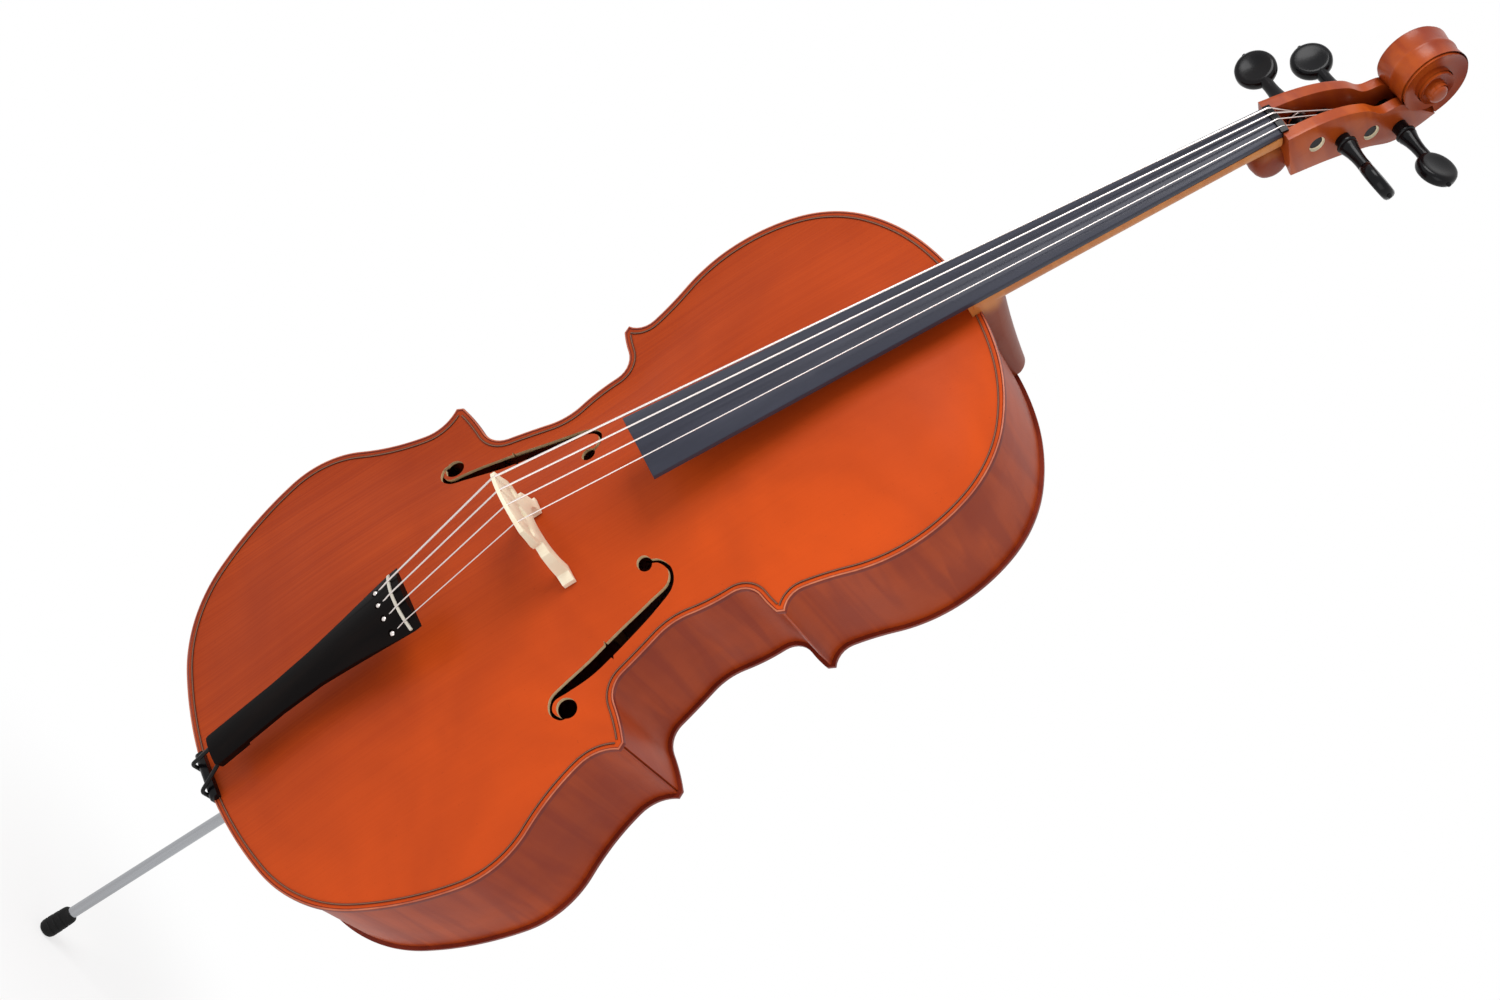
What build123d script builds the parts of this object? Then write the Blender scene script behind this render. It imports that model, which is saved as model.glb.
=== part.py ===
from build123d import *
import math
import os

# A full-size cello, stood upright on its endpin, as an assembly of its separate pieces.
# Frame: origin at the foot of the endpin's rubber tip, +Z up along the instrument, +X towards the
# treble side (the A string), the front faces -Y. Everything is in millimetres.
# Positions on the body are given as (x, v), where v is the height above the body's lower edge.

# ---------------------------------------------------------------- driving dimensions
PIN_EXTENSION = 214.0        # floor to the body's lower edge
BODY_LENGTH = 761.0
RIB_HEIGHT = 118.0
RIB_THICKNESS = 1.6
OVERHANG = 3.5               # plates stand this far outside the ribs
EDGE_THICKNESS = 4.5         # thickness of a plate at its edge
PLATE_THICKNESS = 4.8        # thickness of a plate under the arch
TOP_ARCH = 24.0              # rise of the top above its edge
BACK_ARCH = 23.0
GLUE = 0.1                   # gap in a glued joint between curved faces
RUNNING = 0.08               # radial clearance of a turning or sliding fit

PURFLING_INSET = 5.0
PURFLING_WIDTH = 1.4
PURFLING_DEPTH = 2.0
LINING_THICKNESS = 2.6
LINING_HEIGHT = 16.0

STOP_LENGTH = 400.0          # top edge of the body to the bridge
NECK_LENGTH = 280.0          # top edge of the body to the nut
NECK_TILT = 9.4              # degrees that the fingerboard leans back from the body's plane
NUT_Y = -32.0                # underside of the fingerboard at the nut
BOARD_LENGTH = 580.0
BOARD_WIDTH_NUT = 31.0
BOARD_WIDTH_END = 64.0
BOARD_EDGE = 5.5             # height of the fingerboard's side
BOARD_RADIUS = 62.0
NECK_DEPTH_NUT = 21.0
NECK_DEPTH_HEEL = 25.0

BRIDGE_FOOT_SPREAD = 45.0    # centre line to the outside of a foot
BRIDGE_THICK_FOOT = 11.0
BRIDGE_THICK_TOP = 2.8
CROWN_Y = -175.5             # strings over the middle of the bridge
CROWN_RADIUS = 63.0

TAIL_LENGTH = 222.0
TAIL_THICKNESS = 9.0
TAIL_TOP_V = 246.0           # wide end of the tailpiece, above the body's lower edge
TAIL_TOP_Y = -128.0
TAIL_LOW_Y = -87.0

PEG_RADIUS = 6.4             # of the shaft at the pegbox's middle
PEG_TAPER = 0.02             # radius per millimetre of length
PEG_HEAD_RADIUS = 18.0
PEG_HEAD_CENTRE = 73.0       # distance from the pegbox's middle
PEG_SMALL_END = 21.5

TUBE_RADIUS = 5.0            # endpin
TUBE_LENGTH = 466.0
TIP_RADIUS = 8.5             # rubber tip
PLUG_RADIUS = 12.0
COLLAR_RADIUS = 17.0
COLLAR_LENGTH = 15.0
SCREW_RADIUS = 3.0
SCREW_HEAD_RADIUS = 8.0

# strings: name, diameter, x at the tailpiece, bridge, nut and peg
STRINGS = {
    "c": (2.0, -21.0, -23.5, -11.0, -8.0),
    "g": (1.6, -7.0, -7.8, -3.7, -3.0),
    "d": (1.3, 7.0, 7.8, 3.7, 3.0),
    "a": (1.0, 21.0, 23.5, 11.0, 8.0),
}
# pegs: side of the head (-1 bass, +1 treble), y and z above the nut, turn of the head in degrees
PEGS = {
    "c": (-1, -6.0, 24.0, 0.0),
    "a": (1, 10.0, 46.0, 75.0),
    "g": (-1, 28.0, 72.0, 8.0),
    "d": (1, 45.0, 97.0, 40.0),
}

# ---------------------------------------------------------------- places worked out from them
BODY_Z = PIN_EXTENSION
TOP_Z = BODY_Z + BODY_LENGTH
NUT_Z = TOP_Z + NECK_LENGTH
BRIDGE_Z = TOP_Z - STOP_LENGTH
HALF_RIB = RIB_HEIGHT / 2
FRONT_EDGE_Y = -(HALF_RIB + EDGE_THICKNESS)
BACK_EDGE_Y = HALF_RIB + EDGE_THICKNESS
TILT_SIN = math.sin(math.radians(NECK_TILT))
TILT_COS = math.cos(math.radians(NECK_TILT))
RIB_IN = OVERHANG + RIB_THICKNESS

# The board frame: x is X, y stands out of the fingerboard, z runs down it from the nut.
BOARD = Plane(origin=(0, NUT_Y, NUT_Z), x_dir=(1, 0, 0), z_dir=(0, -TILT_SIN, -TILT_COS))


def body_plane(y):
    """Plane of the outline at depth y: local x is X, local y is Z, and its normal faces the front."""
    return Plane(origin=(0, y, 0), x_dir=(1, 0, 0), z_dir=(0, -1, 0))


def on_board(x, out, down):
    """Row-frame point that lies x across, out of the fingerboard's underside, and down it."""
    return (x, NUT_Y - down * TILT_SIN - out * TILT_COS, NUT_Z - down * TILT_COS + out * TILT_SIN)


def tidy(shape):
    """The shape's solids as one compound, or the one solid."""
    solids = shape.solids()
    return solids[0] if len(solids) == 1 else Compound(children=list(solids))


written = []


def write(name, shape):
    """Writes one sub-part's STEP file."""
    shape = tidy(shape)
    shape.label = name
    export_step(shape, f"parts/{name}.step")
    written.append((name, len(shape.solids())))


# ---------------------------------------------------------------- the body's outline
# Each bout is a chain of tangent arcs, given by its ends and joints and its first direction.
# The chains run anticlockwise on the treble side, so the inside lies on their left.
LOWER_BOUT = [(0, 0), (105, 16), (183, 79), (217.5, 168), (206, 239), (181, 298), (188, 333)]
C_BOUT = [(184.5, 339), (150, 346), (130, 363), (119, 401), (117.5, 433), (121.5, 471), (138, 490), (158, 495)]
UPPER_BOUT = [(0, 0), (62, 7.5), (122, 35), (163, 89), (173, 143), (163, 201), (152, 238), (161.5, 259.5)]
C_BOUT_START = (-0.95, 0.30)


def walk(points, direction):
    """The directions of a chain of tangent arcs at each of its points."""
    directions = []
    dx, dy = direction
    size = math.hypot(dx, dy)
    dx, dy = dx / size, dy / size
    directions.append((dx, dy))
    for (x0, y0), (x1, y1) in zip(points, points[1:]):
        chord = math.atan2(y1 - y0, x1 - x0)
        turn = 2 * chord - math.atan2(dy, dx)
        dx, dy = math.cos(turn), math.sin(turn)
        directions.append((dx, dy))
    return directions


def chain_points(points, direction, inset, inside):
    """The chain's points moved inwards by inset. inside is 1 where the inside is on the left."""
    moved = []
    for (x, y), (dx, dy) in zip(points, walk(points, direction)):
        moved.append((x - inside * dy * inset, y + inside * dx * inset))
    return moved


def bout(name, inset):
    """The points and first direction of one treble-side bout, moved inwards, in row x and z."""
    if name == "lower":
        points, direction, inside = LOWER_BOUT, (1, 0), 1
    elif name == "c":
        points, direction, inside = C_BOUT, C_BOUT_START, 1
    else:
        points = [(x, BODY_LENGTH - down) for x, down in UPPER_BOUT]
        direction, inside = (1, 0), -1
    moved = chain_points(points, direction, inset, inside)
    return [(x, BODY_Z + v) for x, v in moved], direction


def chain_edges(points, direction):
    """Tangent arcs through the points."""
    edges = []
    for start, end in zip(points, points[1:]):
        arc = TangentArc(start, end, tangent=direction)
        edges.append(arc)
        end_tangent = arc % 1
        direction = (end_tangent.X, end_tangent.Y)
    return edges


def strip_face(name, outer, inner):
    """A strip that follows one treble-side bout between two insets."""
    out_points, direction = bout(name, outer)
    in_points, _ = bout(name, inner)
    edges = chain_edges(out_points, direction) + chain_edges(in_points, direction)
    edges.append(Line(out_points[0], in_points[0]))
    edges.append(Line(out_points[-1], in_points[-1]))
    return Face(Wire(edges))


def outline_face():
    """The plates' outline, both sides."""
    half = []
    ends = []
    for name in ("lower", "c", "upper"):
        points, direction = bout(name, 0)
        half += chain_edges(points, direction)
        ends.append((points[0], points[-1]))
    half.append(Line(ends[0][1], ends[1][0]))
    half.append(Line(ends[1][1], ends[2][1]))
    both = half + [edge.mirror(Plane.YZ) for edge in half]
    return Face(Wire(both))


def corner_marks():
    """Each treble-side corner as (tip middle, direction into the body)."""
    lower, lower_dir = bout("lower", 0)
    waist, waist_dir = bout("c", 0)
    upper, upper_dir = bout("upper", 0)
    lower_end = walk(lower, lower_dir)[-1]
    waist_end = walk(waist, waist_dir)[-1]
    upper_end = walk(upper, upper_dir)[-1]
    marks = []
    for a, b, da, db in (
        (lower[-1], waist[0], (-lower_end[0], -lower_end[1]), walk(waist, waist_dir)[0]),
        (upper[-1], waist[-1], (-upper_end[0], -upper_end[1]), (-waist_end[0], -waist_end[1])),
    ):
        middle = ((a[0] + b[0]) / 2, (a[1] + b[1]) / 2)
        inward = (da[0] + db[0], da[1] + db[1])
        size = math.hypot(*inward)
        marks.append((middle, (inward[0] / size, inward[1] / size)))
    return marks


CORNERS = corner_marks()      # lower corner, upper corner
REACH = 60.0                  # size of the flat cutters used at a corner


def mitre(mark, side, depth, gap=0.0):
    """A face that covers the far side of a corner's mitre line, to be cut away.

    side is +1 to cover what lies above the line and -1 for what lies below it.
    depth is how far inside the tip the square end of the corner is cut.
    """
    (mx, mz), (ix, iz) = mark
    nx, nz = -iz * side, ix * side
    if nz * side < 0:
        nx, nz = -nx, -nz
    a = (mx - ix * REACH + nx * gap, mz - iz * REACH + nz * gap)
    b = (mx + ix * REACH + nx * gap, mz + iz * REACH + nz * gap)
    c = (b[0] + nx * REACH, b[1] + nz * REACH)
    d = (a[0] + nx * REACH, a[1] + nz * REACH)
    half = Face(Polyline(a, b, c, d, close=True).wire())
    # the square end: everything nearer the tip than depth
    ex, ez = mx + ix * depth, mz + iz * depth
    px, pz = -iz, ix
    tip = Face(
        Polyline(
            (ex + px * REACH, ez + pz * REACH),
            (ex - px * REACH, ez - pz * REACH),
            (ex - px * REACH - ix * REACH, ez - pz * REACH - iz * REACH),
            (ex + px * REACH - ix * REACH, ez + pz * REACH - iz * REACH),
            close=True,
        ).wire()
    )
    return [half, tip]


def bout_strip(name, outer, inner, tip_depth):
    """strip_face with its ends mitred against the neighbouring bouts at the corners."""
    face = strip_face(name, outer, inner)
    low, high = CORNERS
    cutters = []
    if name == "lower":
        cutters += mitre(low, 1, tip_depth)
    if name == "c":
        cutters += mitre(low, -1, tip_depth) + mitre(high, 1, tip_depth)
    if name == "upper":
        cutters += mitre(high, -1, tip_depth)
    result = face
    for cutter in cutters:
        result = result - cutter
    faces = sorted(result.faces(), key=lambda f: f.area)
    return faces[-1]


def slab(face, y_from, y_to):
    """Extrudes an outline face, drawn in x and z, from one depth to another (y_to nearer the front)."""
    return extrude(body_plane(y_from) * face, amount=y_from - y_to, dir=(0, -1, 0))


def other_side(shape):
    """The bass-side copy of a treble-side solid."""
    return shape.mirror(Plane.YZ)


# ---------------------------------------------------------------- arching
# Half-width of the arched part of the plates at heights above the lower edge.
ARCH_WIDTH = [(0, 60), (60, 140), (120, 190), (170, 204), (240, 190), (300, 158), (350, 122), (400, 107),
              (440, 105), (480, 109), (520, 130), (570, 152), (620, 160), (670, 147), (720, 105), (761, 55)]
ARCH_MARGIN = 10.0           # flat border at the body's two ends
ARCH_STEPS = 17              # points across each cross-section
ARCH_ROWS = [-12, 0, 20, 50, 90, 140, 190, 240, 290, 330, 370, 400, 440, 480, 520, 570, 620, 670, 710, 740, 761, 778]
PLATE_ROOM = 165.0           # depth of the solids that trim the plates


def arch_half_width(v):
    """Half-width of the arched part of a plate at height v, eased between its stations."""
    scaled = max(0.0, v / BODY_LENGTH * ARCH_WIDTH[-1][0])
    for (v0, w0), (v1, w1) in zip(ARCH_WIDTH, ARCH_WIDTH[1:]):
        if scaled <= v1:
            share = (scaled - v0) / (v1 - v0)
            ease = share * share * (3 - 2 * share)
            return w0 + (w1 - w0) * (share + ease) / 2
    return ARCH_WIDTH[-1][1]


def arch_height(x, v, rise):
    """Height of a plate's outer face above its edge."""
    along = (v - BODY_LENGTH / 2) / (BODY_LENGTH / 2 - ARCH_MARGIN)
    across = x / arch_half_width(v)
    if abs(along) >= 1 or abs(across) >= 1:
        return 0.0
    return rise * (1 - along**4) ** 1.5 * (1 - across**2) ** 1.5


def inside_arch(y_edge, rise, facing, depth=0.0):
    """All that lies inside a plate's arched face, or deeper than depth. facing is -1 for the front."""
    half = max(x for x, _ in LOWER_BOUT) + 12
    sections = []
    for row in ARCH_ROWS:
        v = row * BODY_LENGTH / ARCH_WIDTH[-1][0]
        points = []
        for i in range(ARCH_STEPS):
            x = half * (2 * i / (ARCH_STEPS - 1) - 1)
            points.append((x, y_edge + facing * (arch_height(x, v, rise) - depth)))
        far = y_edge - facing * PLATE_ROOM
        edges = [
            Spline(*points, tangents=[(1, 0), (1, 0)]),
            Line(points[-1], (half, far)),
            Line((half, far), (-half, far)),
            Line((-half, far), points[0]),
        ]
        sections.append(Pos(0, 0, BODY_Z + v) * Face(Wire(edges)))
    return loft(sections)


BEHIND_TOP = inside_arch(FRONT_EDGE_Y, TOP_ARCH, -1)
UNDER_TOP = inside_arch(FRONT_EDGE_Y, TOP_ARCH, -1, PLATE_THICKNESS)
BEFORE_BACK = inside_arch(BACK_EDGE_Y, BACK_ARCH, 1)
UNDER_BACK = inside_arch(BACK_EDGE_Y, BACK_ARCH, 1, PLATE_THICKNESS)

# ---------------------------------------------------------------- f-holes
# Centre line of the treble f-hole from its upper to its lower eye: x, v and half the slot's width.
F_LINE = [(61, 423, 1.6), (65.5, 432.5, 1.4), (76, 436.5, 1.5), (86.5, 429, 2.2), (92.5, 410, 3.4), (99, 386, 4.2),
          (106, 361, 4.4), (112.5, 336, 4.2), (116.5, 316, 3.2), (119.5, 302.5, 2.0), (128, 296.5, 1.4),
          (136.5, 301, 1.3), (137, 309, 1.4)]
F_EYES = [(61, 421, 6.0), (131.5, 309.5, 7.8)]
F_NICK = (106, 361, 7.4, 3.4)     # centre, reach across the slot and half-height of the nicks


def f_hole_face():
    """The treble f-hole, drawn in row x and z."""
    left, right = [], []
    count = len(F_LINE)
    for i, (x, v, half) in enumerate(F_LINE):
        x0, v0, _ = F_LINE[max(0, i - 1)]
        x1, v1, _ = F_LINE[min(count - 1, i + 1)]
        size = math.hypot(x1 - x0, v1 - v0)
        nx, nv = -(v1 - v0) / size, (x1 - x0) / size
        left.append((x + nx * half, BODY_Z + v + nv * half))
        right.append((x - nx * half, BODY_Z + v - nv * half))
    slot = Face(Wire([
        Spline(*left), Line(left[-1], right[-1]), Spline(*reversed(right)), Line(right[0], left[0]),
    ]))
    shape = slot
    for x, v, radius in F_EYES:
        shape = shape + Pos(x, BODY_Z + v) * Circle(radius)
    nx, nv, reach, tall = F_NICK
    diamond = Polyline(
        (nx - reach, BODY_Z + nv), (nx, BODY_Z + nv - tall), (nx + reach, BODY_Z + nv), (nx, BODY_Z + nv + tall),
        close=True,
    )
    return shape + Face(diamond.wire())


# ---------------------------------------------------------------- neck, heel, pegbox and scroll
NUT_LENGTH = 6.5
NUT_RISE = 1.6
NUT_SHELF = 2.5              # flat behind the nut, before the pegbox opens
HEEL_TENON = 9.0             # how deep the neck is let into the upper block
# across the heel: depth y, width and reach above the body's upper edge
HEEL_SECTIONS = [(-84.0, 47.0, 32.0), (-20.0, 38.0, 22.0), (HALF_RIB, 30.0, 14.0)]
SCROLL_Y = 18.0
SCROLL_UP = 131.0            # scroll's centre above the nut
SCROLL_RADIUS = 43.0
SCROLL_SHRINK = 0.856        # radius left after each quarter turn
SCROLL_HALF_WIDTHS = [19.0, 25.0, 29.0]
EYE_RADIUS = 8.5
EYE_HALF_WIDTH = 32.0
# side view of the pegbox, as y and height above the nut
PEGBOX_REAR = [(10, -5), (25, 32), (42, 64), (58, 87), (62, 110), (61, 133)]
PEGBOX_FRONT = [(38, 133), (36, 112), (20, 104), (14, 86), (-2, 74), (-17, 54), (-28, 30), (-36, 2)]
CHIN = [(-16, -34), (8, -29), (20, -17), (17, 0), (-10, 6)]
CAVITY_REAR = [(-24, 9), (8, 16), (20, 34), (37.5, 66), (53, 88), (57, 106)]
CAVITY_FRONT = [(30, 118), (-10, 96), (-46, 40), (-46, 9)]
CHEEK_OUTSIDE = (24.0, 17.5)  # half-width at the nut and at the scroll
CHEEK_INSIDE = (12.5, 8.5)


def heel_outline(width, reach, grow=0.0):
    """A face with a round top that spans the tenon and reaches above the body."""
    half = width / 2 + grow
    low = TOP_Z - HEEL_TENON - grow
    high = TOP_Z + reach + grow
    arc_start = high - half * 0.75
    return Face(Wire([
        Line((-half, low), (half, low)),
        Line((half, low), (half, arc_start)),
        ThreePointArc((half, arc_start), (0, high), (-half, arc_start)),
        Line((-half, arc_start), (-half, low)),
    ]))


def heel_solid(grow):
    """The heel and its tenon; grow widens it to make the mortise."""
    return loft([body_plane(y) * heel_outline(width, reach, grow) for y, width, reach in HEEL_SECTIONS])


def neck_section(down, width, depth):
    """The neck's cross-section under the fingerboard."""
    half = width / 2
    outline = Wire([
        Line((-half, 0), (half, 0)),
        Spline((half, 0), (half * 0.86, -depth * 0.55), (0, -depth), (-half * 0.86, -depth * 0.55), (-half, 0),
               tangents=[(0, -1), (0, 1)]),
    ])
    section = Plane(origin=on_board(0, 0, down), x_dir=(1, 0, 0), z_dir=(0, -TILT_SIN, -TILT_COS))
    return section * Face(outline)


def board_width(down):
    """Width of the fingerboard at a distance down from the nut."""
    return BOARD_WIDTH_NUT + (BOARD_WIDTH_END - BOARD_WIDTH_NUT) * down / BOARD_LENGTH


def side_profile(points, half_width):
    """Extrudes a closed side view, given as y and height above the nut, both ways across."""
    corners = [(y, NUT_Z + up) for y, up in points]
    face = Plane.YZ * Face(Polyline(*corners, close=True).wire())
    return extrude(face, amount=half_width, both=True)


def taper(low_half, high_half, grow=0.0):
    """A wedge seen from the front, between the nut and the top of the pegbox, to narrow a side profile."""
    low, high = NUT_Z - 45, NUT_Z + 140
    a, b = low_half + grow, high_half + grow
    slope = (b - a) / 110.0
    wide_low, wide_high = a - slope * 45, a + slope * 140
    face = Face(Polyline((-wide_low, low), (wide_low, low), (wide_high, high), (-wide_high, high), close=True).wire())
    return slab(face, 150, -150)


def scroll_radius(angle):
    """Radius of the volute's outer line at an angle in radians, 0 at the rear and growing over the top."""
    return SCROLL_RADIUS * SCROLL_SHRINK ** (angle / (math.pi / 2))


def volute(turn, half_width):
    """One whole turn of the volute and all that lies inside it."""
    steps = 16
    points = []
    for i in range(steps + 1):
        angle = 2 * math.pi * (turn + i / steps)
        radius = scroll_radius(angle)
        points.append((SCROLL_Y + radius * math.cos(angle), NUT_Z + SCROLL_UP + radius * math.sin(angle)))
    face = Plane.YZ * Face(Wire([Spline(*points), Line(points[-1], points[0])]))
    return extrude(face, amount=half_width, both=True)


def peg_place(name):
    """Row-frame y and z of a peg's axis."""
    _, y, up, _ = PEGS[name]
    return y, NUT_Z + up


def peg_plane(name, turn=0.0):
    """Frame of a peg: z runs along it to its head, from the pegbox's middle."""
    side = PEGS[name][0]
    y, z = peg_place(name)
    angle = math.radians(turn)
    return Plane(origin=(0, y, z), x_dir=(0, math.sin(angle), math.cos(angle)), z_dir=(side, 0, 0))


def taper_pin(start, end, extra):
    """A tapered pin on its own z axis, following the pegs' taper."""
    length = end - start
    pin = Cone(
        PEG_RADIUS + PEG_TAPER * start + extra, PEG_RADIUS + PEG_TAPER * end + extra, length,
        align=(Align.CENTER, Align.CENTER, Align.MIN),
    )
    return Pos(0, 0, start) * pin


def neck_and_scroll():
    """Neck, heel, pegbox and scroll, carved from one piece."""
    reach = (NECK_LENGTH + 4) / TILT_COS
    stations = [(-12, BOARD_WIDTH_NUT, NECK_DEPTH_NUT), (reach / 2, board_width(reach / 2), 23.0),
                (reach, board_width(reach), NECK_DEPTH_HEEL)]
    shaft = loft([neck_section(*station) for station in stations])
    neck = shaft + heel_solid(0.0)

    cheeks = side_profile(PEGBOX_REAR + PEGBOX_FRONT, 40) & taper(*CHEEK_OUTSIDE)
    chin = side_profile(CHIN, 13.5)
    head = cheeks + chin
    for turn, half_width in enumerate(SCROLL_HALF_WIDTHS):
        head = head + volute(turn, half_width)
    eye = Plane.YZ * Pos(SCROLL_Y, NUT_Z + SCROLL_UP) * Circle(EYE_RADIUS)
    head = head + extrude(eye, amount=EYE_HALF_WIDTH, both=True)
    head = head - (side_profile(CAVITY_REAR + CAVITY_FRONT, 40) & taper(*CHEEK_INSIDE))
    for name in PEGS:
        head = head - peg_plane(name) * taper_pin(-40, 40, RUNNING)
    board_room = BOARD_LENGTH + NUT_LENGTH + NUT_SHELF
    above_board = BOARD * Pos(0, 50, BOARD_LENGTH - board_room / 2) * Box(120, 100, board_room)
    return neck + head - above_board


# ---------------------------------------------------------------- fingerboard and nut
FACET_SHARE = 0.12           # the flat under the C string reaches this share of the width past the middle, bass side


def board_outline(width, edge, extra=0.0):
    """Cross-section of the fingerboard: round, with a flat under the lowest string."""
    half = width / 2
    rise = BOARD_RADIUS - math.sqrt(BOARD_RADIUS**2 - half**2)
    top = edge + rise + extra
    turn_x = -width * FACET_SHARE
    turn_y = top - (BOARD_RADIUS - math.sqrt(BOARD_RADIUS**2 - turn_x**2))
    mid_x = (half + turn_x) / 2
    mid_y = top - (BOARD_RADIUS - math.sqrt(BOARD_RADIUS**2 - mid_x**2))
    return Wire([
        Line((-half, 0), (half, 0)),
        Line((half, 0), (half, edge + extra)),
        ThreePointArc((half, edge + extra), (mid_x, mid_y), (turn_x, turn_y)),
        Line((turn_x, turn_y), (-half, edge + extra)),
        Line((-half, edge + extra), (-half, 0)),
    ])


def board_section(down, width, edge, extra=0.0):
    """board_outline placed across the fingerboard."""
    section = Plane(origin=on_board(0, 0, down), x_dir=(1, 0, 0), z_dir=(0, -TILT_SIN, -TILT_COS))
    return section * Face(board_outline(width, edge, extra))


def fingerboard():
    """The fingerboard, hollowed underneath where it hangs free over the body."""
    board = loft([
        board_section(0, BOARD_WIDTH_NUT, BOARD_EDGE),
        board_section(BOARD_LENGTH, BOARD_WIDTH_END, BOARD_EDGE),
    ])
    free = BOARD_LENGTH - NECK_LENGTH / TILT_COS - 40
    hollow = BOARD * Pos(0, -6, BOARD_LENGTH - free / 2 + 10) * Cylinder(17, free + 20)
    return board - hollow


def nut_solid():
    """The top nut, with a groove for each string."""
    blank = loft([
        board_section(-NUT_LENGTH, BOARD_WIDTH_NUT, BOARD_EDGE, NUT_RISE - 0.8),
        board_section(0, BOARD_WIDTH_NUT, BOARD_EDGE, NUT_RISE),
    ])
    return blank - list(grooves.values())


# ---------------------------------------------------------------- strings
STRING_BEND = 7.0            # radius of a string where it turns over the bridge or the nut
CROWN_LEAN = 0.06            # the bridge is lower on the treble side by this much per millimetre
GROOVE = 0.12                # gap round a string in its groove
BALL_RADIUS = 2.6
FRET_DOWN = 9.0              # tailpiece fret and string holes, from the wide end
SLOT_DOWN = 25.0
FRET_RISE = 1.4
TAIL_CROWN_RADIUS = 58.0
COIL_WIDTH = 5.0


def crown_y(x):
    """Height of the strings over the bridge."""
    lean = CROWN_LEAN * (x - STRINGS["c"][2])
    return CROWN_Y + lean + CROWN_RADIUS - math.sqrt(CROWN_RADIUS**2 - x**2)


def tail_point(x, down, out):
    """Row-frame point on the tailpiece: down from its wide end, out of its middle plane."""
    sine = (TAIL_TOP_Y - TAIL_LOW_Y) / TAIL_LENGTH
    cosine = math.sqrt(1 - sine**2)
    return (x, TAIL_TOP_Y - sine * down - out * cosine, BODY_Z + TAIL_TOP_V - cosine * down + out * sine)


def tail_crown(x):
    """How far the tailpiece's front stands out at x."""
    return TAIL_THICKNESS - x**2 / (2 * TAIL_CROWN_RADIUS)


def coil_radius(name):
    """Radius of the string's centre line where it winds on its peg, and of the coil's outside."""
    diameter, _, _, _, x = STRINGS[name]
    side = PEGS[name][0]
    shaft = PEG_RADIUS + PEG_TAPER * (x * side + COIL_WIDTH / 2) + 0.12
    return shaft + diameter / 2, shaft + diameter


def string_points(name):
    """The route of one string: ball end, tailpiece fret, bridge, nut and peg."""
    diameter, x_tail, x_bridge, x_nut, x_peg = STRINGS[name]
    out_nut = BOARD_EDGE + BOARD_RADIUS - math.sqrt(BOARD_RADIUS**2 - (BOARD_WIDTH_NUT / 2) ** 2)
    out_nut += NUT_RISE - (BOARD_RADIUS - math.sqrt(BOARD_RADIUS**2 - x_nut**2))
    ball = tail_point(x_tail, SLOT_DOWN, tail_crown(x_tail) - 2.2)
    fret = tail_point(x_tail, FRET_DOWN, tail_crown(x_tail) + FRET_RISE)
    bridge = (x_bridge, crown_y(x_bridge), BRIDGE_Z)
    nut = on_board(x_nut, out_nut + 0.4, -NUT_LENGTH / 2)
    # the tangent from the nut to the front of the coil, stopped short of the coil
    middle, outside = coil_radius(name)
    y_peg, z_peg = peg_place(name)
    dy, dz = y_peg - nut[1], z_peg - nut[2]
    far = math.hypot(dy, dz)
    bearing = math.atan2(dz, dy) + math.asin(middle / far)
    run = math.sqrt(far**2 - middle**2)
    stop = math.sqrt((outside + diameter / 2 + 0.35) ** 2 - middle**2)
    share = (run - stop) / run
    end_y = nut[1] + math.cos(bearing) * run * share
    end_z = nut[2] + math.sin(bearing) * run * share
    end_x = nut[0] + (x_peg - nut[0]) * share
    return [ball, fret, bridge, nut, (end_x, end_y, end_z)]


def string_solid(name, grow=0.0):
    """A string, or with grow the groove that it lies in."""
    path = FilletPolyline(*string_points(name), radius=STRING_BEND)
    start = path @ 0
    profile = Plane(origin=start, z_dir=path % 0) * Circle(STRINGS[name][0] / 2 + grow)
    return sweep(profile, path=path)


# ---------------------------------------------------------------- body pieces
SADDLE_WIDTH = 46.0
SADDLE_TALL = 9.0
SADDLE_PROUD = 6.5
BLOCK_HALF_WIDTH = 38.0
BLOCK_DEPTH = 24.0
CORNER_REACH = 36.0
BAR_X = -25.0
BAR_THICK = 11.0
BAR_DEPTH = 25.0
BAR_SPAN = (95.0, 690.0)
POST_X = 24.0
POST_RADIUS = 5.5
POST_BELOW_BRIDGE = 12.0

outline = outline_face()
BOUTS = ("lower", "c", "upper")
mortise = heel_solid(GLUE)
PLUG_TOP = BODY_Z + RIB_IN + BLOCK_DEPTH
plug_hole = Pos(0, 0, BODY_Z) * Cylinder(PLUG_RADIUS + GLUE, 2 * (RIB_IN + BLOCK_DEPTH + 10))
strings = {name: string_solid(name) for name in STRINGS}
grooves = {name: string_solid(name, GROOVE) for name in STRINGS}


def both_sides(strip):
    """A treble-side face and its bass-side copy."""
    return [strip, strip.mirror(Plane.YZ)]


def ring_faces(outer, inner, tip_depth):
    """The six strips that run round the outline between two insets."""
    faces = []
    for name in BOUTS:
        faces += both_sides(bout_strip(name, outer, inner, tip_depth))
    return faces


def saddle_box(gap=0.0):
    """The saddle's block, let into the top's lower edge."""
    tall = SADDLE_TALL + gap
    deep = EDGE_THICKNESS + SADDLE_PROUD
    return Pos(0, -HALF_RIB - deep / 2, BODY_Z + tall / 2) * Box(SADDLE_WIDTH + 2 * gap, deep, tall)


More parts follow.
